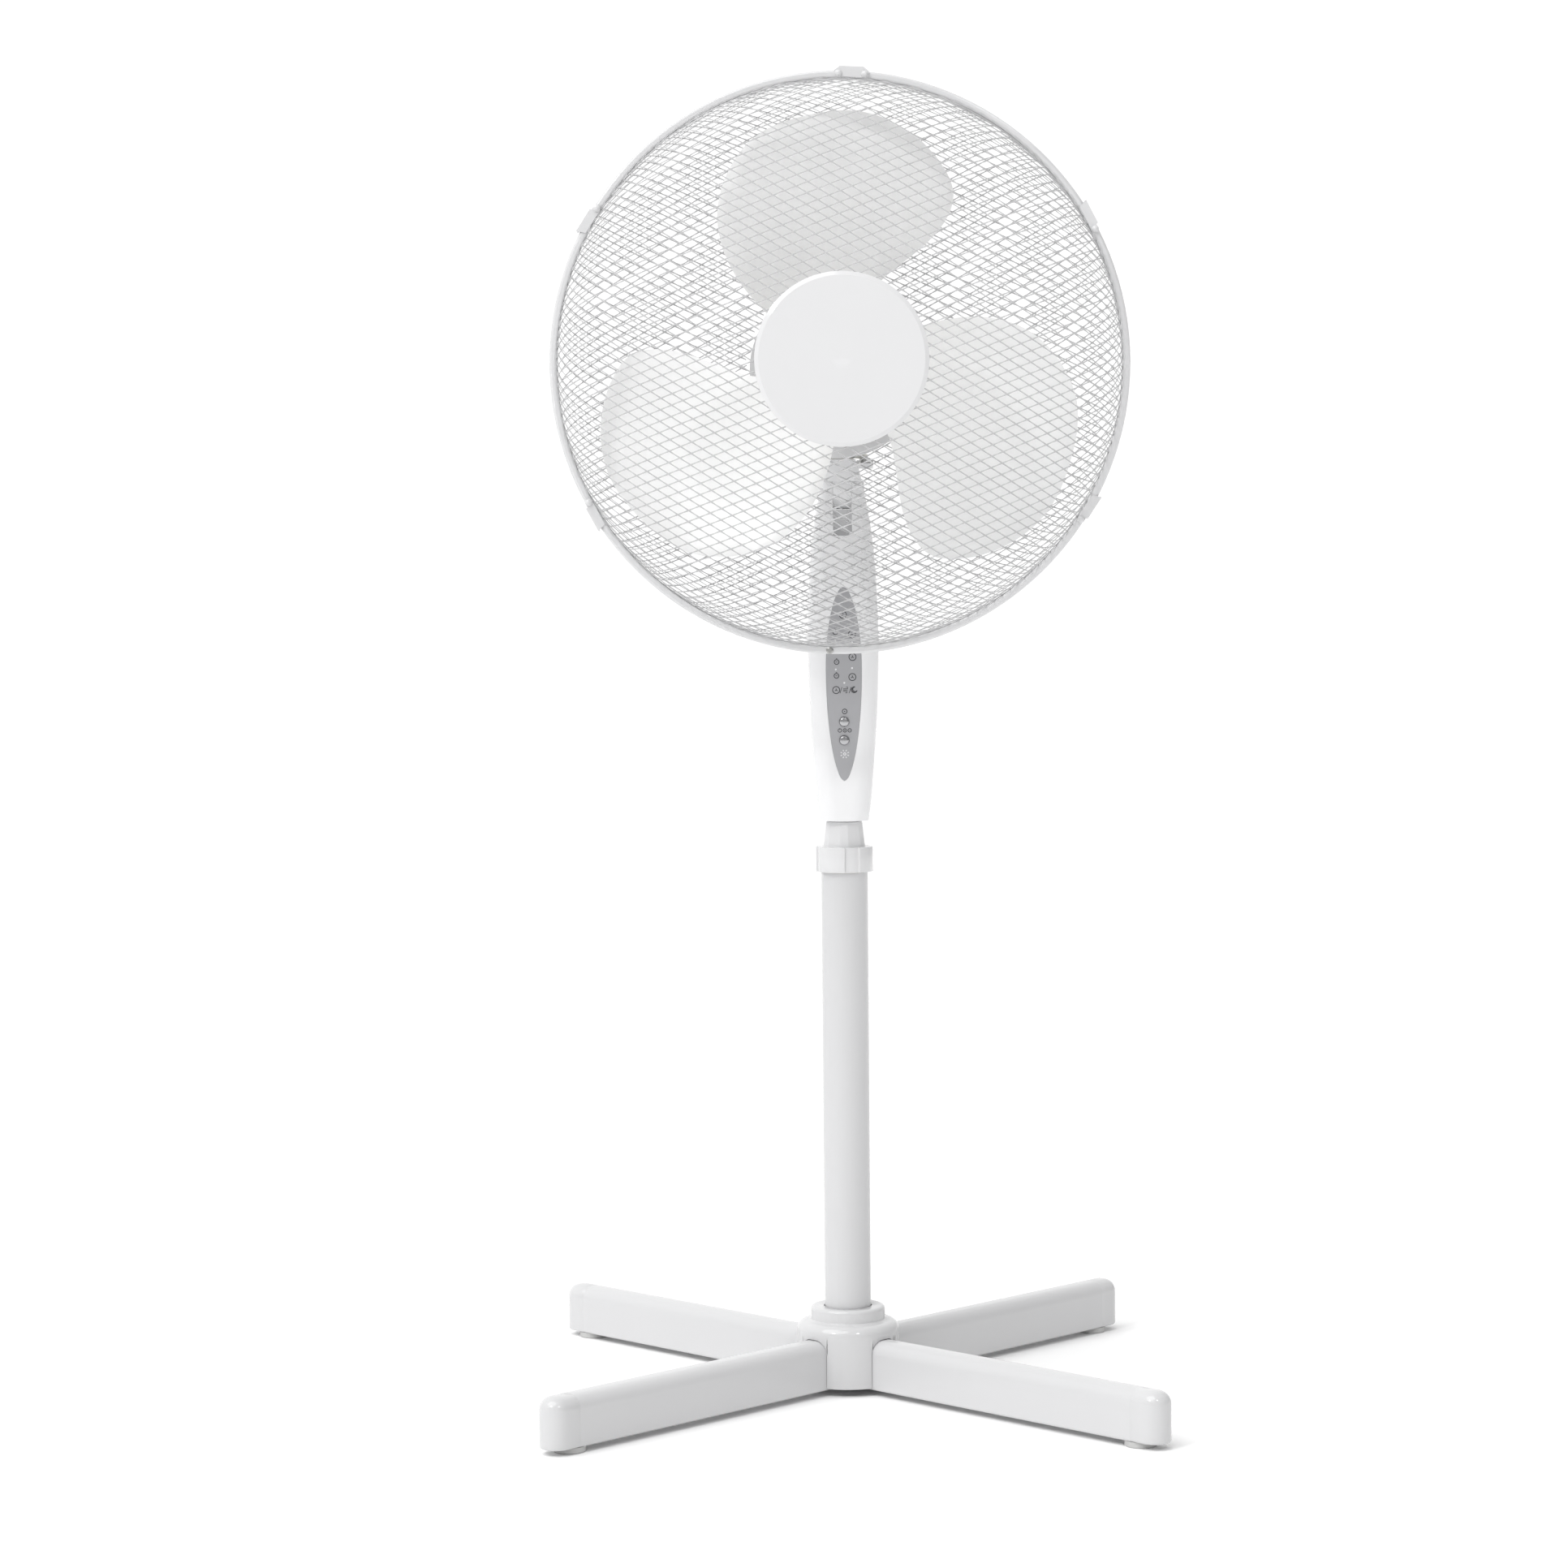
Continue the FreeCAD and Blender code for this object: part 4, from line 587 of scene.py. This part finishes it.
def lathe(profile, sides, centre):
    """Vertices and faces turned about the Y axis, from (radius, depth), ends on the axis."""
    vertices, faces = [], []
    rings = []
    for radius, depth in profile:
        if radius < 1e-7:
            rings.append([len(vertices)] * sides)
            vertices.append(centre + Vector((0, depth, 0)))
            continue
        ring = []
        for k in range(sides):
            turn = 2 * math.pi * k / sides
            ring.append(len(vertices))
            vertices.append(centre + Vector((radius * math.cos(turn), depth,
                                             radius * math.sin(turn))))
        rings.append(ring)
    for low, high in zip(rings, rings[1:]):
        for k in range(sides):
            n = (k + 1) % sides
            corners = []
            for corner in (low[k], low[n], high[n], high[k]):
                if corner not in corners:
                    corners.append(corner)
            if len(corners) > 2:
                faces.append(tuple(corners))
    return vertices, faces


def make_button(node, body):
    """Chromed push button with a crowned face and a rolled edge."""
    low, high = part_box(node)
    radius = 3.88 * MM
    flange = (high.x - low.x) / 2
    back = high.y
    front = low.y
    profile = [(0, back), (flange, back), (flange, back - 1.3 * MM), (radius, back - 1.3 * MM)]
    crown = 2.4 * MM
    for step in range(9):
        turn = math.pi / 2 * step / 8
        profile.append((radius * math.cos(turn) ** 0.55 if step < 8 else 0,
                        front + crown * (1 - math.sin(turn))))
    centre = Vector(((low.x + high.x) / 2, 0, (low.z + high.z) / 2))
    vertices, faces = lathe(profile, 40, centre)
    piece = new_piece(node + "_dome", vertices, faces, body, "bright_chrome")
    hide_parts(node)


# ---------------------------------------------------------------- operators
class FAN_OT_finishes(bpy.types.Operator):
    """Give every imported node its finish"""
    bl_idname = "fan.finishes"
    bl_label = "Finishes"

    def execute(self, context):
        make_finishes(context.scene.fan_colours)
        for name, node in frame["nodes"].items():
            node.data.materials.clear()
            node.data.materials.append(finish_of(NODE_FINISH[name]))
        return {"FINISHED"}


class FAN_OT_moulded(bpy.types.Operator):
    """Round the edges of the moulded pieces"""
    bl_idname = "fan.moulded"
    bl_label = "Moulded pieces"

    def execute(self, context):
        for node, body in MOULDED:
            soften(node, body, context.scene.fan_sizes.edge_round, NODE_FINISH[node])
        return {"FINISHED"}


class FAN_OT_guards(bpy.types.Operator):
    """Draw the lattice of both guards"""
    bl_idname = "fan.guards"
    bl_label = "Guard lattices"

    def execute(self, context):
        sizes = context.scene.fan_sizes
        make_lattice("front_lattice", "front_guard_mesh", 0.0, sizes)
        make_lattice("rear_lattice", "rear_guard_mesh", math.radians(8), sizes)
        return {"FINISHED"}


class FAN_OT_print(bpy.types.Operator):
    """Print the symbols and indicator dots on the control panel"""
    bl_idname = "fan.panel_print"
    bl_label = "Panel print"

    def execute(self, context):
        make_print(context.scene.fan_sizes)
        return {"FINISHED"}


class FAN_OT_buttons(bpy.types.Operator):
    """Make the two domed push buttons"""
    bl_idname = "fan.buttons"
    bl_label = "Push buttons"

    def execute(self, context):
        make_button("power_button", "power_key")
        make_button("speed_button", "speed_key")
        return {"FINISHED"}


class FAN_OT_stage(bpy.types.Operator):
    """Set up the floor, the studio light and the camera"""
    bl_idname = "fan.stage"
    bl_label = "Stage"

    def execute(self, context):
        scene = context.scene
        scene.view_settings.view_transform = "Standard"
        reach = 14.0
        corners = [(-reach, -reach, 0), (reach, -reach, 0), (reach, reach, 0), (-reach, reach, 0)]
        mesh = bpy.data.meshes.new("studio_floor")
        mesh.from_pydata(corners, [], [(0, 1, 2, 3)])
        pale = tuple(scene.fan_colours.floor)
        mesh.materials.append(make_finish("studio_paper", pale, shade(pale, 0.005), 0.9, 5, 0.0,
                                          patch=400))
        floor = bpy.data.objects.new("studio_floor", mesh)
        scene.collection.objects.link(floor)
        self.light_studio(scene)
        self.place_camera(scene)
        return {"FINISHED"}

    def light_studio(self, scene):
        """Bright backdrop behind the fan, a dimmer room in front and at the right, soft lamps."""
        world = bpy.data.worlds.new("studio")
        scene.world = world
        world.use_nodes = True
        tree = world.node_tree
        tree.nodes.clear()
        way = add_node(tree, "ShaderNodeTexCoord").outputs["Generated"]
        split = add_node(tree, "ShaderNodeSeparateXYZ", Vector=way)
        ramp = add_node(tree, "ShaderNodeMapRange", Value=split.outputs["Y"], From_Min=-0.5,
                        From_Max=0.75, To_Min=0.5, To_Max=1.08)
        side = add_node(tree, "ShaderNodeMapRange", Value=split.outputs["X"], From_Min=0.3,
                        From_Max=0.9, To_Min=1.0, To_Max=0.5)
        both = add_node(tree, "ShaderNodeMath", {"operation": "MULTIPLY"})
        tree.links.new(ramp.outputs["Result"], both.inputs[0])
        tree.links.new(side.outputs["Result"], both.inputs[1])
        glow = add_node(tree, "ShaderNodeBackground", Color=(1, 1, 1, 1),
                        Strength=both.outputs["Value"])
        add_node(tree, "ShaderNodeOutputWorld", Surface=glow.outputs["Background"])
        sun = bpy.data.lights.new("sky_panel", "SUN")
        sun.energy = 1.5
        sun.angle = math.radians(50)
        self.hang(scene, sun, Vector((-1.2, -1.1, 2.6)), Vector((0, 0, 0)))
        for name, spot, power, wide in (("left_softbox", (-1.9, -2.3, 2.5), 18, 0.34),
                                        ("right_softbox", (1.1, -2.5, 2.4), 11, 0.3)):
            lamp = bpy.data.lights.new(name, "AREA")
            lamp.shape = "RECTANGLE"
            lamp.size = wide
            lamp.size_y = wide * 0.7
            lamp.energy = power
            self.hang(scene, lamp, Vector(spot), Vector((0, 0, 0.5)))

    def hang(self, scene, light, spot, target):
        """Light at a spot, turned to a target."""
        lamp = bpy.data.objects.new(light.name, light)
        lamp.location = spot
        lamp.rotation_mode = "QUATERNION"
        lamp.rotation_quaternion = (spot - target).to_track_quat("Z", "Y")
        scene.collection.objects.link(lamp)

    def place_camera(self, scene):
        """Camera a little left of the fan, at two thirds of its height."""
        data = bpy.data.cameras.new("main_camera")
        data.sensor_width = 36
        data.lens = 86.59
        data.clip_end = 100
        camera = bpy.data.objects.new("main_camera", data)
        yaw = Matrix.Rotation(math.radians(-0.342), 4, "Z")
        pitch = Matrix.Rotation(math.radians(90 - 3.18), 4, "X")
        roll = Matrix.Rotation(math.radians(-0.494), 4, "Z")
        spot = Matrix.Translation((-0.0639, -2.92, 0.635))
        camera.matrix_world = spot @ yaw @ pitch @ roll
        scene.collection.objects.link(camera)
        scene.camera = camera


OPERATORS = (FAN_OT_finishes, FAN_OT_moulded, FAN_OT_guards, FAN_OT_print, FAN_OT_buttons,
             FAN_OT_stage)


class FAN_PT_sidebar(bpy.types.Panel):
    """Sizes, colours and pieces of the fan"""
    bl_label = "Pedestal Fan"
    bl_idname = "FAN_PT_sidebar"
    bl_space_type = "VIEW_3D"
    bl_region_type = "UI"
    bl_category = "Pedestal Fan"

    def draw(self, context):
        for group in (context.scene.fan_sizes, context.scene.fan_colours):
            for name in group.__annotations__:
                self.layout.prop(group, name)
        for operator in OPERATORS:
            self.layout.operator(operator.bl_idname)


CLASSES = (FanSizes, FanColours, *OPERATORS, FAN_PT_sidebar)


def register():
    """Register the classes and the scene's settings."""
    for item in CLASSES:
        bpy.utils.register_class(item)
    bpy.types.Scene.fan_sizes = bpy.props.PointerProperty(type=FanSizes)
    bpy.types.Scene.fan_colours = bpy.props.PointerProperty(type=FanColours)


def unregister():
    """Undo register."""
    del bpy.types.Scene.fan_colours
    del bpy.types.Scene.fan_sizes
    for item in reversed(CLASSES):
        bpy.utils.unregister_class(item)


def main():
    """Make every piece in order."""
    register()
    for operator in OPERATORS:
        group, name = operator.bl_idname.split(".")
        getattr(getattr(bpy.ops, group), name)()


if __name__ == "__main__":
    main()
